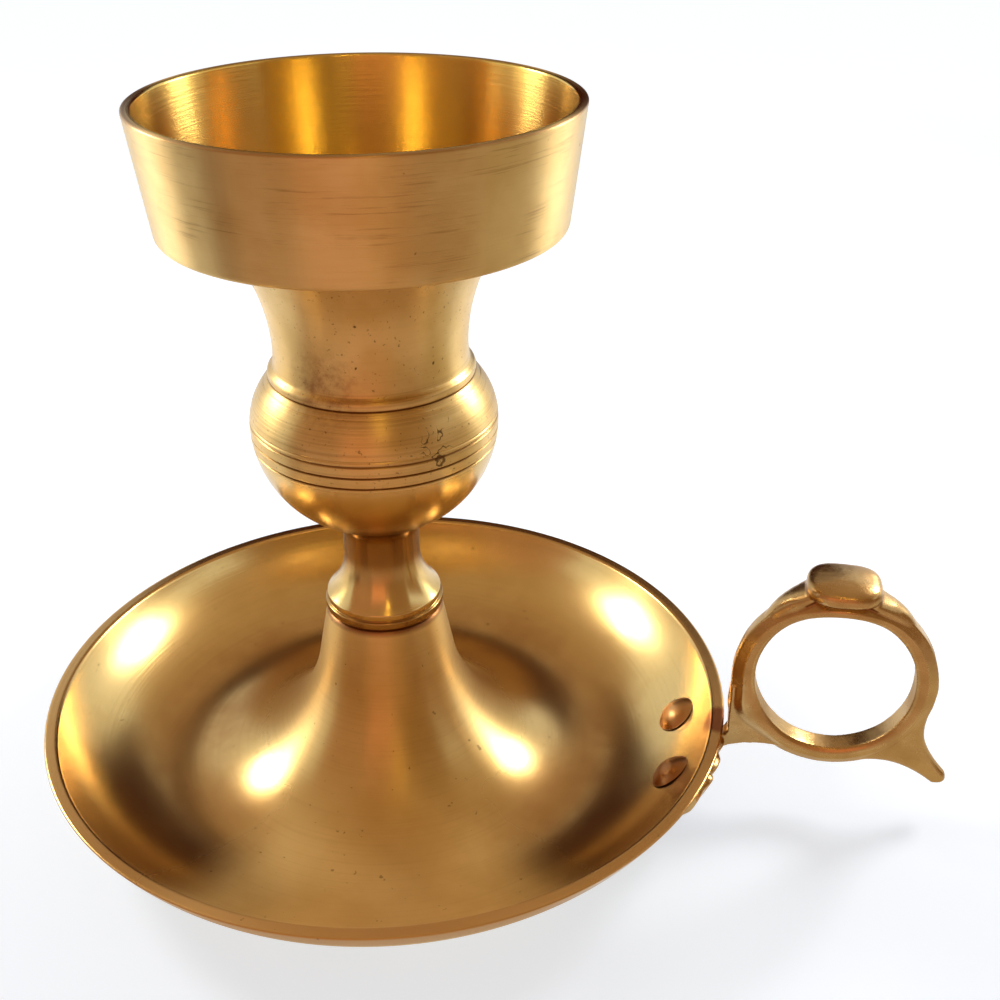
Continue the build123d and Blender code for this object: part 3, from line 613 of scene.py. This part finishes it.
loopSizes = {   # millimetres, as cast
    "holeHalfLength": 9.5, "holeHalfHeight": 10.1, "centre": (56.6, 18.8), "thickness": 2.8, "width": 3.4,
    "shoulderThickness": 2.3, "shoulderWidth": 6.0, "wideningPower": 6,
    "heel": (208, 13, 1.5),   # angle round the hole, span, added thickness
    "shoulders": ((148, (-2.1, -1.25), 0.9), (36, (2.4, -1.9), 0.9)),   # angle, end in the pad, half thickness there
    "section": ((0.80, -1.0), (1.0, -0.6), (1.0, 0.05), (0.48, 1.0)),   # half of the band, as shares of its sizes
    "padLength": 8.9, "padWidth": 8.2, "padThickness": 2.5, "padSetback": 0.35, "padTop": 14.55, "padSquareness": 2.9,
    "padCrown": ((0.02, 1.0), (0.5, 1.0), (0.78, 0.98), (0.92, 0.90), (0.985, 0.78), (1.0, 0.64), (0.995, 0.5),
                 (0.975, 0.38), (0.93, 0.27), (0.85, 0.18), (0.72, 0.11), (0.5, 0.05), (0.25, 0.012),
                 (0.02, 0)),   # share of its size, share of its thickness below the top
    "spurWay": -43.4, "spurFrom": 10.6, "spurReach": 19.8, "spurRoot": 6.3, "spurFade": 2.9, "spurTip": 0.85,
    "spurOff": -0.5, "spurWidth": (3.2, 1.9),
    "webWidth": 2.5, "plateInner": 19.669, "plateThickness": 1.6, "plateAngles": (30.93, 60.93), "plateHalf": 17.0,
    # the plate's upper edge: angle where it thins and share left; azimuth and half span of its high spots
    "feather": (48.5, 0.22), "edgeBits": ((-4.0, 1.8), (-9.3, 2.6), (-13.6, 1.6)),
    "voxel": 0.15, "smoothing": 8, "lumpSize": 4.0, "lumpHeight": 0.06, "grainSize": 0.9, "grainHeight": 0.01,
}
loopFinish = {
    "brass": "#BE9A63", "cloud": "#AE8853", "crease": "#74401F", "worn": "#DDBC7C",
    "cloudSize": 4.5,   # mm
    "roughness": (0.22, 0.32),
}


def loopPoint(sizes, degrees):   # middle of the band at an angle round the hole, the way out, thickness
    turn = math.radians(degrees)
    across, up = math.cos(turn) / sizes["holeHalfLength"], math.sin(turn) / sizes["holeHalfHeight"]
    out = Vector((across, 0, up)).normalized()
    rise = max(0, math.sin(turn))
    thickness = sizes["thickness"] + (sizes["shoulderThickness"] - sizes["thickness"]) * rise
    heelAt, heelSpan, heel = sizes["heel"]   # thicker where it runs down to the plate
    thickness += heel * math.exp(-((degrees - heelAt) / heelSpan) ** 2)
    hole = Vector((sizes["centre"][0] + sizes["holeHalfLength"] * math.cos(turn), 0,
                   sizes["centre"][1] + sizes["holeHalfHeight"] * math.sin(turn)))
    return hole + out * thickness / 2, out, thickness


def oval(middle, sideways, upwards, halfSide, halfUp, power, count=40):   # rounded section, square-ish above power 2
    ring = []
    for i in range(count):
        turn = 2 * math.pi * i / count
        c, s = math.cos(turn), math.sin(turn)
        ring.append(middle + sideways * math.copysign(abs(c) ** (2 / power), c) * halfSide
                    + upwards * math.copysign(abs(s) ** (2 / power), s) * halfUp)
    return ring


def bandSection(middle, sideways, out, halfSide, halfUp, half):   # flat front and back, bevelled outside
    corners = list(half) + [(-a, b) for a, b in reversed(half)]
    ring = []
    for (a, b), (c, d) in zip(corners, corners[1:] + corners[:1]):
        for t in (0, 0.2, 0.4, 0.6, 0.8):
            ring.append(middle + sideways * (a + (c - a) * t) * halfSide + out * (b + (d - b) * t) * halfUp)
    return ring


def skin(shell, rings, closed=False):   # joins sections of equal count into a closed skin
    made = [[shell.verts.new(v * mm) for v in ring] for ring in rings]
    pairs = list(zip(made, made[1:])) + ([(made[-1], made[0])] if closed else [])
    for a, b in pairs:
        for i in range(len(a)):
            j = (i + 1) % len(a)
            shell.faces.new((a[i], a[j], b[j], b[i]))
    if not closed:
        shell.faces.new(reversed(made[0]))
        shell.faces.new(made[-1])


def makeLoop(sizes):
    y = Vector((0, 1, 0))
    shell = bmesh.new()
    # the band, wider towards the thumb pad
    band = []
    for i in range(96):
        degrees = 360 * i / 96
        middle, out, thickness = loopPoint(sizes, degrees)
        rise = max(0, math.sin(math.radians(degrees)))
        width = sizes["width"] + (sizes["shoulderWidth"] - sizes["width"]) * rise ** sizes["wideningPower"]
        band.append(bandSection(middle, y, out, width / 2, thickness / 2, sizes["section"]))
    skin(shell, band, closed=True)
    # the thumb pad: a crowned cushion with a soft edge that rolls under
    x0, z0 = sizes["centre"][0] - sizes["padSetback"], sizes["centre"][1] + sizes["padTop"]
    pad, thick = [], sizes["padThickness"]
    for share, drop in sizes["padCrown"]:
        pad.append(oval(Vector((x0, 0, z0 - drop * thick)), Vector((1, 0, 0)), y, sizes["padLength"] / 2 * share,
                        sizes["padWidth"] / 2 * share, sizes["padSquareness"]))
    skin(shell, pad)
    # shoulders that carry the band up into the pad: full on the saucer's side, lower outside
    for lowAt, high, thin in sizes["shoulders"]:
        low = loopPoint(sizes, lowAt)[0]
        top = Vector((x0 + high[0], 0, z0 + high[1]))
        out = Vector((0, 1, 0)).cross(top - low).normalized()
        out = out if out.z > 0 else -out
        rings = []
        for i in range(11):
            t = i / 10
            half = 1.1 + (sizes["padWidth"] * 0.36 - 1.1) * t ** 1.3
            rings.append(oval(low.lerp(top, t) + out * 0.55 * math.sin(math.pi * t) ** 0.8, y, out, half,
                              0.8 + 0.55 * math.sin(math.pi * min(1, t * 1.3)) + (thin - 0.8) * t, 2.3))
        skin(shell, rings)
    # the spur below: a web that narrows quickly from the ring's side to a rounded tail
    middle = Vector((sizes["centre"][0], 0, sizes["centre"][1]))
    way = math.radians(sizes["spurWay"])
    along, up = Vector((math.cos(way), 0, math.sin(way))), Vector((-math.sin(way), 0, math.cos(way)))
    rings, reach = [], sizes["spurReach"] - sizes["spurFrom"]
    for i in range(31):
        t = i / 30
        fade = math.exp(-reach * t / sizes["spurFade"])
        deep = sizes["spurTip"] + sizes["spurRoot"] * fade
        wide = sizes["spurWidth"][0] + (sizes["spurWidth"][1] - sizes["spurWidth"][0]) * t
        spot = middle + along * (sizes["spurFrom"] + reach * t) + up * sizes["spurOff"] * fade ** 0.4
        rings.append(oval(spot, y, up, wide / 2, deep, 2.5))
    for share in (0.35, 0.65, 0.87, 0.97):   # rounded tip
        spot = middle + along * (sizes["spurReach"] + sizes["spurTip"] * share)
        rings.append(oval(spot, y, up, sizes["spurWidth"][1] / 2 * math.sqrt(1 - share ** 2),
                          sizes["spurTip"] * math.sqrt(1 - share ** 2), 2.2))
    skin(shell, rings)
    # the web to the plate, arched underneath
    centre = saucerDish(saucerSizes)[0]
    inner = sizes["plateInner"]
    lowAt, highAt = sizes["plateAngles"]

    def onPlate(degrees, radius, azimuth=0):
        t, a = math.radians(degrees), math.radians(azimuth)
        r = centre[0] + radius * math.sin(t)
        return Vector((r * math.cos(a), r * math.sin(a), centre[1] - radius * math.cos(t)))

    outer = inner + sizes["plateThickness"]
    rim = saucerSizes["radius"] + 0.3
    top = saucerSizes["height"]
    inside225, foot = loopPoint(sizes, 225)[0], loopPoint(sizes, 255)[0]
    low = onPlate(highAt - 15, outer - 0.05)
    arch = [low.lerp(foot, t) + Vector((0, 0, 1)) * 2.0 * math.sin(math.pi * t ** 0.7)
            for t in (0.12, 0.25, 0.4, 0.6, 0.8)]
    outline = [foot, inside225, Vector((rim + 1.4, 0, top + 6)), Vector((rim, 0, top + 6)), Vector((rim, 0, top)),
               onPlate(highAt, inner + 0.8), low] + arch
    half = sizes["webWidth"] / 2
    front = [shell.verts.new((v - y * half) * mm) for v in outline]
    back = [shell.verts.new((v + y * half) * mm) for v in outline]
    for i in range(len(outline)):
        j = (i + 1) % len(outline)
        shell.faces.new((front[i], front[j], back[j], back[i]))
    shell.faces.new(reversed(front))
    shell.faces.new(back)
    # the plate outside the dish's wall: its upper edge thin and uneven, a few high spots on the near side
    rows, (thinFrom, thinEnd) = [], sizes["feather"]
    for i in range(81):
        azimuth = sizes["plateHalf"] * (i / 40 - 1)
        trim = max(0, abs(azimuth) - sizes["plateHalf"] + 3.2) / 3.2   # rounded corners
        cut = 4.5 * (1 - math.sqrt(max(0, 1 - trim ** 2)))
        bit = max([1 - abs((azimuth - at) / half) ** 3 for at, half in sizes["edgeBits"]] + [0])
        back = min(1, max(0, (azimuth + 1) / 2))
        rough = 0.6 * noise.noise(Vector((azimuth * 0.5, 0.3, 1.7)))
        upper = highAt - cut - (1 - bit) * (1.4 + 5.0 * back + rough) - 0.7
        ring = [onPlate(lowAt + cut + (upper - lowAt - cut) * t / 14, inner, azimuth) for t in range(15)]
        for t in range(14, -1, -1):
            angle = lowAt + cut + (upper - lowAt - cut) * t / 14
            thin = min(1, max(0, (angle - thinFrom) / (highAt - thinFrom))) * (1 - 0.4 * bit)
            ring.append(onPlate(angle, inner + sizes["plateThickness"] * (1 - (1 - thinEnd) * thin), azimuth))
        rows.append(ring)
    skin(shell, rows)
    bmesh.ops.recalc_face_normals(shell, faces=shell.faces)
    mesh = bpy.data.meshes.new("fingerLoopCast")
    shell.to_mesh(mesh)
    shell.free()
    loop = bpy.data.objects.new("fingerLoopCast", mesh)
    scene.collection.objects.link(loop)
    remesh = loop.modifiers.new("cast", "REMESH")
    remesh.mode, remesh.voxel_size = "VOXEL", sizes["voxel"] * mm
    soften = loop.modifiers.new("soften", "SMOOTH")
    soften.factor, soften.iterations = 0.5, sizes["smoothing"]
    settle(loop)
    castSkin(loop.data, sizes)
    return loop


def castSkin(mesh, sizes):   # low lumps left by the mould, and how hollow each place is for the finish
    shell = bmesh.new()
    shell.from_mesh(mesh)
    shell.normal_update()
    hollow = []
    for v in shell.verts:
        near = [e.other_vert(v).co for e in v.link_edges]
        middle = sum(near, Vector()) / len(near)
        hollow.append((middle - v.co).dot(v.normal) / (sizes["voxel"] * mm))
    shell.verts.index_update()
    for _ in range(5):
        hollow = [0.5 * hollow[v.index] + 0.5 * sum(hollow[e.other_vert(v).index] for e in v.link_edges)
                  / len(v.link_edges) for v in shell.verts]
    for v in shell.verts:
        lump = noise.noise(v.co / (sizes["lumpSize"] * mm)) * sizes["lumpHeight"]
        grain = noise.noise(v.co / (sizes["grainSize"] * mm) + Vector((7, 3, 5))) * sizes["grainHeight"]
        v.co += v.normal * (lump + grain - sizes["lumpHeight"] * 0.5) * mm
    shell.to_mesh(mesh)
    shell.free()
    layer = mesh.attributes.new("hollow", "FLOAT", "POINT")
    layer.data.foreach_set("value", hollow)


def loopBrass(finish):
    # sand cast brass, left as cast and worn by fingers: duller and browner, bright on its edges, with painted shade in
    # its hollows
    material, tree = startMaterial("wornCastBrass")
    place = wire(tree, "TexCoord", out="Object")
    clouds, color = cloudedBrass(tree, place, finish, 5.0, 0.6, 0.68)
    hollow = wire(tree, "Attribute", out="Fac", attribute_name="hollow")
    # painted shade in the hollows
    crease = wire(tree, "MapRange", {0: hollow, 1: 0.01, 2: 0.07, 3: 0.0, 4: 0.85})
    worn = wire(tree, "MapRange", {0: hollow, 1: -0.05, 2: -0.11, 3: 0.0, 4: 0.7})
    color = layColors(tree, color, finish, ((crease, "crease"), (worn, "worn")))
    rough = wire(tree, "MapRange", {0: clouds, 1: 0.3, 2: 0.7, 3: finish["roughness"][0], 4: finish["roughness"][1]})
    grain = wire(tree, "TexNoise", {"Vector": place, "Scale": 1 / (0.45 * mm), "Detail": 3.0})
    bump = wire(tree, "Bump", {"Strength": 1.0, "Distance": 0.012 * mm, "Height": grain})
    endMaterial(tree, {"Base Color": color, "Metallic": 1.0, "Roughness": rough, "Normal": bump})
    return material


fingerLoop = makeLoop(loopSizes)
fingerLoop.data.materials.clear()
fingerLoop.data.materials.append(loopBrass(loopFinish))
place(fingerLoop, "cast_brass", "finger_loop")


# Rivets

rivetSizes = {   # millimetres; distances are from the centre of the dish's section
    "angle": 40.55, "spread": 8.8, "inner": 17.90, "outer": 21.289, "radius": 1.5,
    "headRadius": 2.75, "headHeight": 1.3, "dent": 0.16, "dentSize": 1.7, "seed": 4, "segments": 48,
}
rivetFinish = {
    "brass": "#C08F58", "dull": "#8E5A31",
    "roughness": (0.26, 0.42),
}


def rivetRows(sizes):   # along the rivet's own axis, from the head in the dish to the head on the plate
    dome = (sizes["headRadius"] ** 2 + sizes["headHeight"] ** 2) / (2 * sizes["headHeight"])
    edge = math.degrees(math.asin(sizes["headRadius"] / dome))
    rows = arcRows((0, sizes["inner"] - sizes["headHeight"] + dome), dome, 0, edge, 0.15)
    rows += [(sizes["radius"], sizes["inner"]), (sizes["radius"], sizes["outer"])]
    rows += arcRows((0, sizes["outer"] + sizes["headHeight"] - dome), dome, 180 - edge, 180, 0.15)
    return easeCorners(rows, 0.18)


def rivetTree():
    tree = bpy.data.node_groups.new("setRivets", "GeometryNodeTree")
    tree.is_modifier = True
    for name, kind in (("Places", "NodeSocketGeometry"), ("Rivet", "NodeSocketObject"), ("Segments", "NodeSocketInt"),
                       ("Dent", "NodeSocketFloat"), ("Dent Size", "NodeSocketFloat"), ("Seed", "NodeSocketInt"),
                       ("Finish", "NodeSocketMaterial")):
        tree.interface.new_socket(name, in_out="INPUT", socket_type=kind)
    tree.interface.new_socket("Rivets", in_out="OUTPUT", socket_type="NodeSocketGeometry")
    given = addNode(tree, "NodeGroupInput").outputs
    rows = wire(tree, "GeometryNodeObjectInfo", {"Object": given["Rivet"]}, out="Geometry")
    rivet = addNode(tree, "GeometryNodeGroup", node_tree=lathe)
    tree.links.new(rows, rivet.inputs["Profile"])
    tree.links.new(given["Segments"], rivet.inputs["Segments"])
    axis = addNode(tree, "GeometryNodeInputNamedAttribute", {"Name": "axis"}, data_type="FLOAT_VECTOR")
    turn = wire(tree, "FunctionNodeAlignRotationToVector", {"Vector": axis.outputs[0]}, axis="Z")
    put = wire(tree, "GeometryNodeInstanceOnPoints", {"Points": given["Places"], "Instance": rivet.outputs[0],
                                                      "Rotation": turn})
    real = wire(tree, "GeometryNodeRealizeInstances", {"Geometry": put})
    spot = wire(tree, "GeometryNodeInputPosition")
    scale = wire(tree, "Math", {0: 1.0, 1: given["Dent Size"]}, operation="DIVIDE")
    blows = wire(tree, "TexNoise", {"Vector": spot, "W": given["Seed"], "Scale": scale, "Detail": 1.0},
                 noise_dimensions="4D")
    depth = wire(tree, "Math", {0: blows, 1: -0.5}, operation="MULTIPLY")
    depth = wire(tree, "Math", {0: depth, 1: given["Dent"]}, operation="MULTIPLY")
    way = wire(tree, "GeometryNodeInputNormal")
    push = wire(tree, "VectorMath", {0: way, "Scale": depth}, operation="SCALE")
    dented = wire(tree, "GeometryNodeSetPosition", {"Geometry": real, "Offset": push})
    painted = wire(tree, "GeometryNodeSetMaterial", {"Geometry": dented, "Material": given["Finish"]})
    addNode(tree, "NodeGroupOutput", {0: painted})
    return tree


def rivetBrass(finish):
    # brass wire, headed over with a hammer: small facets, brown skin, the near one darker
    material, tree = startMaterial("hammeredBrass")
    place = wire(tree, "TexCoord", out="Object")
    clouds = wire(tree, "TexNoise", {"Vector": place, "Scale": 1 / (1.6 * mm), "Detail": 4.0})
    side = wire(tree, "SeparateXYZ", {0: place}, out="Y")
    near = wire(tree, "MapRange", {0: side, 1: 1 * mm, 2: -1 * mm, 3: 0.15, 4: 0.75})
    tone = wire(tree, "Math", {0: clouds, 1: 0.6, 2: near}, operation="MULTIPLY_ADD")
    tone = wire(tree, "Math", {0: tone, 1: 0.25}, operation="SUBTRACT", use_clamp=True)
    color = wire(tree, "Mix", {0: tone, 6: hexColor(finish["brass"]), 7: hexColor(finish["dull"])}, out=2,
                 data_type="RGBA")
    rough = wire(tree, "MapRange", {0: clouds, 1: 0.3, 2: 0.7, 3: finish["roughness"][0], 4: finish["roughness"][1]})
    bump = wire(tree, "Bump", {"Strength": 1.0, "Distance": 0.03 * mm, "Height": clouds})
    endMaterial(tree, {"Base Color": color, "Metallic": 1.0, "Roughness": rough, "Normal": bump})
    return material


def setRivets(sizes, finish):
    centre = saucerDish(saucerSizes)[0]
    places, axes = [], []
    for side in (-1, 1):
        a, t = math.radians(side * sizes["spread"]), math.radians(sizes["angle"])
        places.append((centre[0] * math.cos(a) * mm, centre[0] * math.sin(a) * mm, centre[1] * mm))
        axes.append((math.sin(t) * math.cos(a), math.sin(t) * math.sin(a), -math.cos(t)))
    profile = bpy.data.meshes.new("rivetProfile")
    rows = rivetRows(sizes)
    profile.from_pydata([(r * mm, 0, z * mm) for r, z in rows], [(i, i + 1) for i in range(len(rows) - 1)], [])
    pattern = bpy.data.objects.new("rivetProfile", profile)
    scene.collection.objects.link(pattern)
    rivets = grow("rivetsHammered", places, rivetTree(),
                  {"Rivet": pattern, "Segments": sizes["segments"], "Dent": sizes["dent"] * mm,
                   "Dent Size": sizes["dentSize"] * mm, "Seed": sizes["seed"], "Finish": rivetBrass(finish)},
                  {"axis": axes})
    bpy.data.objects.remove(pattern)
    return rivets


rivets = setRivets(rivetSizes, rivetFinish)
place(rivets, "rivet_brass", "front_rivet", "back_rivet")


# Screw and washer inside the cone keep their own shapes

fastenerFinish = {
    "steel": "#A8A49C", "dull": "#7F776B", "rust": "#6B4630",
    "roughness": (0.28, 0.45), "linePitch": 0.18,   # mm, turned head
}


def fastenerSteel(finish):
    # turned mild steel, bare and a little rusty: grey, fine rings, brown freckles
    material, tree = startMaterial("bareTurnedSteel")
    place, radius, height, around = turnedCoords(tree)
    lines = toolLines(tree, radius, height, around, finish["linePitch"] * mm, 1.0)
    clouds = wire(tree, "TexNoise", {"Vector": place, "Scale": 1 / (1.2 * mm), "Detail": 5.0})
    color = wire(tree, "Mix", {0: clouds, 6: hexColor(finish["steel"]), 7: hexColor(finish["dull"])}, out=2,
                 data_type="RGBA")
    freckles = wire(tree, "MapRange", {0: clouds, 1: 0.56, 2: 0.66, 3: 0.0, 4: 0.7})
    color = layColors(tree, color, finish, ((freckles, "rust"),))
    rough = wire(tree, "MapRange", {0: clouds, 1: 0.3, 2: 0.7, 3: finish["roughness"][0], 4: finish["roughness"][1]})
    bump = wire(tree, "Bump", {"Strength": 1.0, "Distance": 0.01 * mm, "Height": lines})
    endMaterial(tree, {"Base Color": color, "Metallic": 1.0, "Roughness": rough, "Normal": bump})
    return material


steel = fastenerSteel(fastenerFinish)
for name in ("base_screw", "base_washer"):
    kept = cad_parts[name]
    kept.data.materials.clear()
    kept.data.materials.append(steel)
print("screw and washer finished")


# Studio: a pale coved floor, two soft lamps behind, and dim cards round it for the brass to mirror

studio = {
    "flat": 0.9, "cove": 0.4, "wall": 0.6,      # metres
    "paper": "#C2C8D0",
    # the lift is seen, also in the brass, but lights nothing
    "lift": (0.68, 0.95), "liftFrom": (0.12, 0.45), "liftColor": "#EAF4FF",
    "sky": "#C0A587", "skyStrength": 1.0,
    "lamps": (
        {"at": (0.183, 0.171, 0.168), "size": 0.076, "radiance": 22.0, "color": "#FFFDFB"},
        {"at": (-0.243, 0.061, 0.168), "size": 0.076, "radiance": 22.0, "color": "#FFFDFB"},
    ),
    "aim": (0.0, 0.0, 0.03),
    "cards": (   # a warm fill in front, and two small lamps, for the brass only
        {"azimuth": -88, "distance": 0.42, "height": 0.16, "size": (0.24, 0.22), "radiance": 0.75, "color": "#E08F70"},
        {"azimuth": -67, "distance": 0.30, "height": 0.28, "size": (0.03, 0.03), "radiance": 10.0, "color": "#FFDC70"},
        {"azimuth": -69, "distance": 0.20, "height": 0.34, "size": (0.03, 0.03), "radiance": 8.0, "color": "#FFD850"},
    ),
    "ring": 0.45,   # metres, where the standing cards are
    "standing": (   # azimuth, span, low, high, colour, strength: glow that only the brass sees
        (92, 30, 0.02, 0.33, "#3A140C", 1.0),
        (114.5, 15, 0.02, 0.385, "#3A140C", 1.0),
        (252, 94, 0.0, 0.62, "#C0967A", 1.0),
        (321, 46, 0.0, 0.62, "#A4825E", 1.0),
        (2, 34, 0.0, 0.2, "#A4825E", 1.0),
        (181, 14, 0.085, 0.16, "#FFFBF0", 3.0),
        (36, 14, 0.07, 0.15, "#FFFBF0", 3.0),
    ),
    "lying": (   # azimuth, span, near, far, colour, strength: the same, on the floor
        (178, 36, 0.05, 0.12, "#FFFFFF", 1.25),
        (272, 150, 0.05, 0.12, "#DCC2AE", 1.0),
        (9, 40, 0.05, 0.12, "#E4D6BC", 1.0),
        (160, 40, 0.125, 0.18, "#FFFFFF", 1.5),
        (42, 18, 0.1, 0.18, "#FFFFFF", 1.5),
        (194, 20, 0.125, 0.44, "#9C9088", 1.0),
        (212, 16, 0.125, 0.44, "#54423A", 1.0),
        (236, 34, 0.125, 0.44, "#C4A69C", 1.0),
        (269, 32, 0.125, 0.44, "#F0C0B4", 1.0),
        (297, 24, 0.125, 0.44, "#EEB8A4", 1.0),
        (330, 42, 0.125, 0.44, "#CCB4A6", 1.0),
        (9, 36, 0.125, 0.44, "#D4C9B6", 1.0),
    ),
}


def floorPaper(settings):   # matt white paper; the lift shows only to the camera and in reflections
    material, tree = startMaterial("mattPaper")
    place = wire(tree, "TexCoord", out="Object")
    fibre = wire(tree, "TexNoise", {"Vector": place, "Scale": 900.0, "Detail": 3.0})
    bump = wire(tree, "Bump", {"Strength": 0.05, "Distance": 0.0001, "Height": fibre})
    ray = addNode(tree, "LightPath").outputs
    seen = wire(tree, "Math", {0: ray["Is Camera Ray"], 1: ray["Is Glossy Ray"]}, operation="ADD")
    seen = wire(tree, "Math", {0: seen, 1: ray["Is Transmission Ray"]}, operation="ADD", use_clamp=True)
    away = wire(tree, "VectorMath", {0: place}, out="Value", operation="LENGTH")
    lift = wire(tree, "MapRange", {0: away, 1: settings["liftFrom"][0], 2: settings["liftFrom"][1],
                                   3: settings["lift"][0], 4: settings["lift"][1]}, interpolation_type="SMOOTHSTEP")
    lift = wire(tree, "Math", {0: seen, 1: lift}, operation="MULTIPLY")
    endMaterial(tree, {"Base Color": hexColor(settings["paper"]), "Roughness": 0.9, "Specular IOR Level": 0.0,
                       "Emission Color": hexColor(settings["liftColor"]), "Emission Strength": lift, "Normal": bump})
    return material


def addFloor(settings):
    flat, cove, wall = (settings[k] * 1000 for k in ("flat", "cove", "wall"))
    rows = [(0, 0), (flat * 0.3, 0), (flat, 0)] + arcRows((flat, cove), cove, 0, 90, 30)[1:]
    rows.append((flat + cove, cove + wall))
    floor = turnPiece("floor", rows, 96, floorPaper(settings))
    floor.data.flip_normals()


def addGlow(settings):
    ring = settings["ring"]
    glows = [(azimuth, span, ring, ring, low, high, color, strength)
             for azimuth, span, low, high, color, strength in settings["standing"]]
    glows += [(azimuth, span, near, far, 0.001, 0.001, color, strength)
              for azimuth, span, near, far, color, strength in settings["lying"]]
    for i, (azimuth, span, near, far, low, high, color, strength) in enumerate(glows):
        material, tree = startMaterial(f"glow{i + 1}")
        endMaterial(tree, {"Base Color": (0, 0, 0, 1), "Specular IOR Level": 0.0,
                           "Emission Color": hexColor(color), "Emission Strength": strength})
        steps, corners = max(2, round(span / 6)), []
        for step in range(steps + 1):
            angle = math.radians(azimuth + span * (step / steps - 0.5))
            for reach, level in ((near, low), (far, high)):
                corners.append((reach * math.cos(angle), reach * math.sin(angle), level))
        mesh = bpy.data.meshes.new(f"glow{i + 1}")
        mesh.from_pydata(corners, [], [(2 * k, 2 * k + 2, 2 * k + 3, 2 * k + 1) for k in range(steps)])
        mesh.materials.append(material)
        card = bpy.data.objects.new(f"glow{i + 1}", mesh)
        scene.collection.objects.link(card)
        card.visible_camera = card.visible_shadow = card.visible_diffuse = False


def addLamp(name, at, size, radiance, color, aim, brassOnly=False):
    data = bpy.data.lights.new(name, "AREA")
    data.shape = "RECTANGLE"
    data.size, data.size_y = size
    data.energy = radiance * size[0] * size[1] * math.pi
    data.color = hexColor(color)[:3]
    lamp = bpy.data.objects.new(name, data)
    scene.collection.objects.link(lamp)
    lamp.location = at
    lamp.rotation_euler = (Vector(aim) - Vector(at)).to_track_quat("-Z", "Y").to_euler()
    lamp.visible_camera = False
    lamp.visible_diffuse = not brassOnly


def lightStudio(settings):
    world = bpy.data.worlds.new("studio")
    scene.world = world
    world.use_nodes = True
    world.node_tree.nodes.clear()
    sky = addNode(world.node_tree, "Background", {"Color": hexColor(settings["sky"]),
                                                  "Strength": settings["skyStrength"]})
    addNode(world.node_tree, "OutputWorld", {"Surface": sky.outputs[0]})
    for i, lamp in enumerate(settings["lamps"]):
        addLamp(f"lamp{i + 1}", lamp["at"], (lamp["size"],) * 2, lamp["radiance"], lamp["color"], settings["aim"])
    for i, card in enumerate(settings["cards"]):
        turn = math.radians(card["azimuth"])
        at = (card["distance"] * math.cos(turn), card["distance"] * math.sin(turn), card["height"])
        addLamp(f"card{i + 1}", at, card["size"], card["radiance"], card["color"], (0, 0, card["height"] * 0.6), True)


addFloor(studio)
addGlow(studio)
lightStudio(studio)
scene.view_settings.view_transform = "Standard"
print("studio lit")
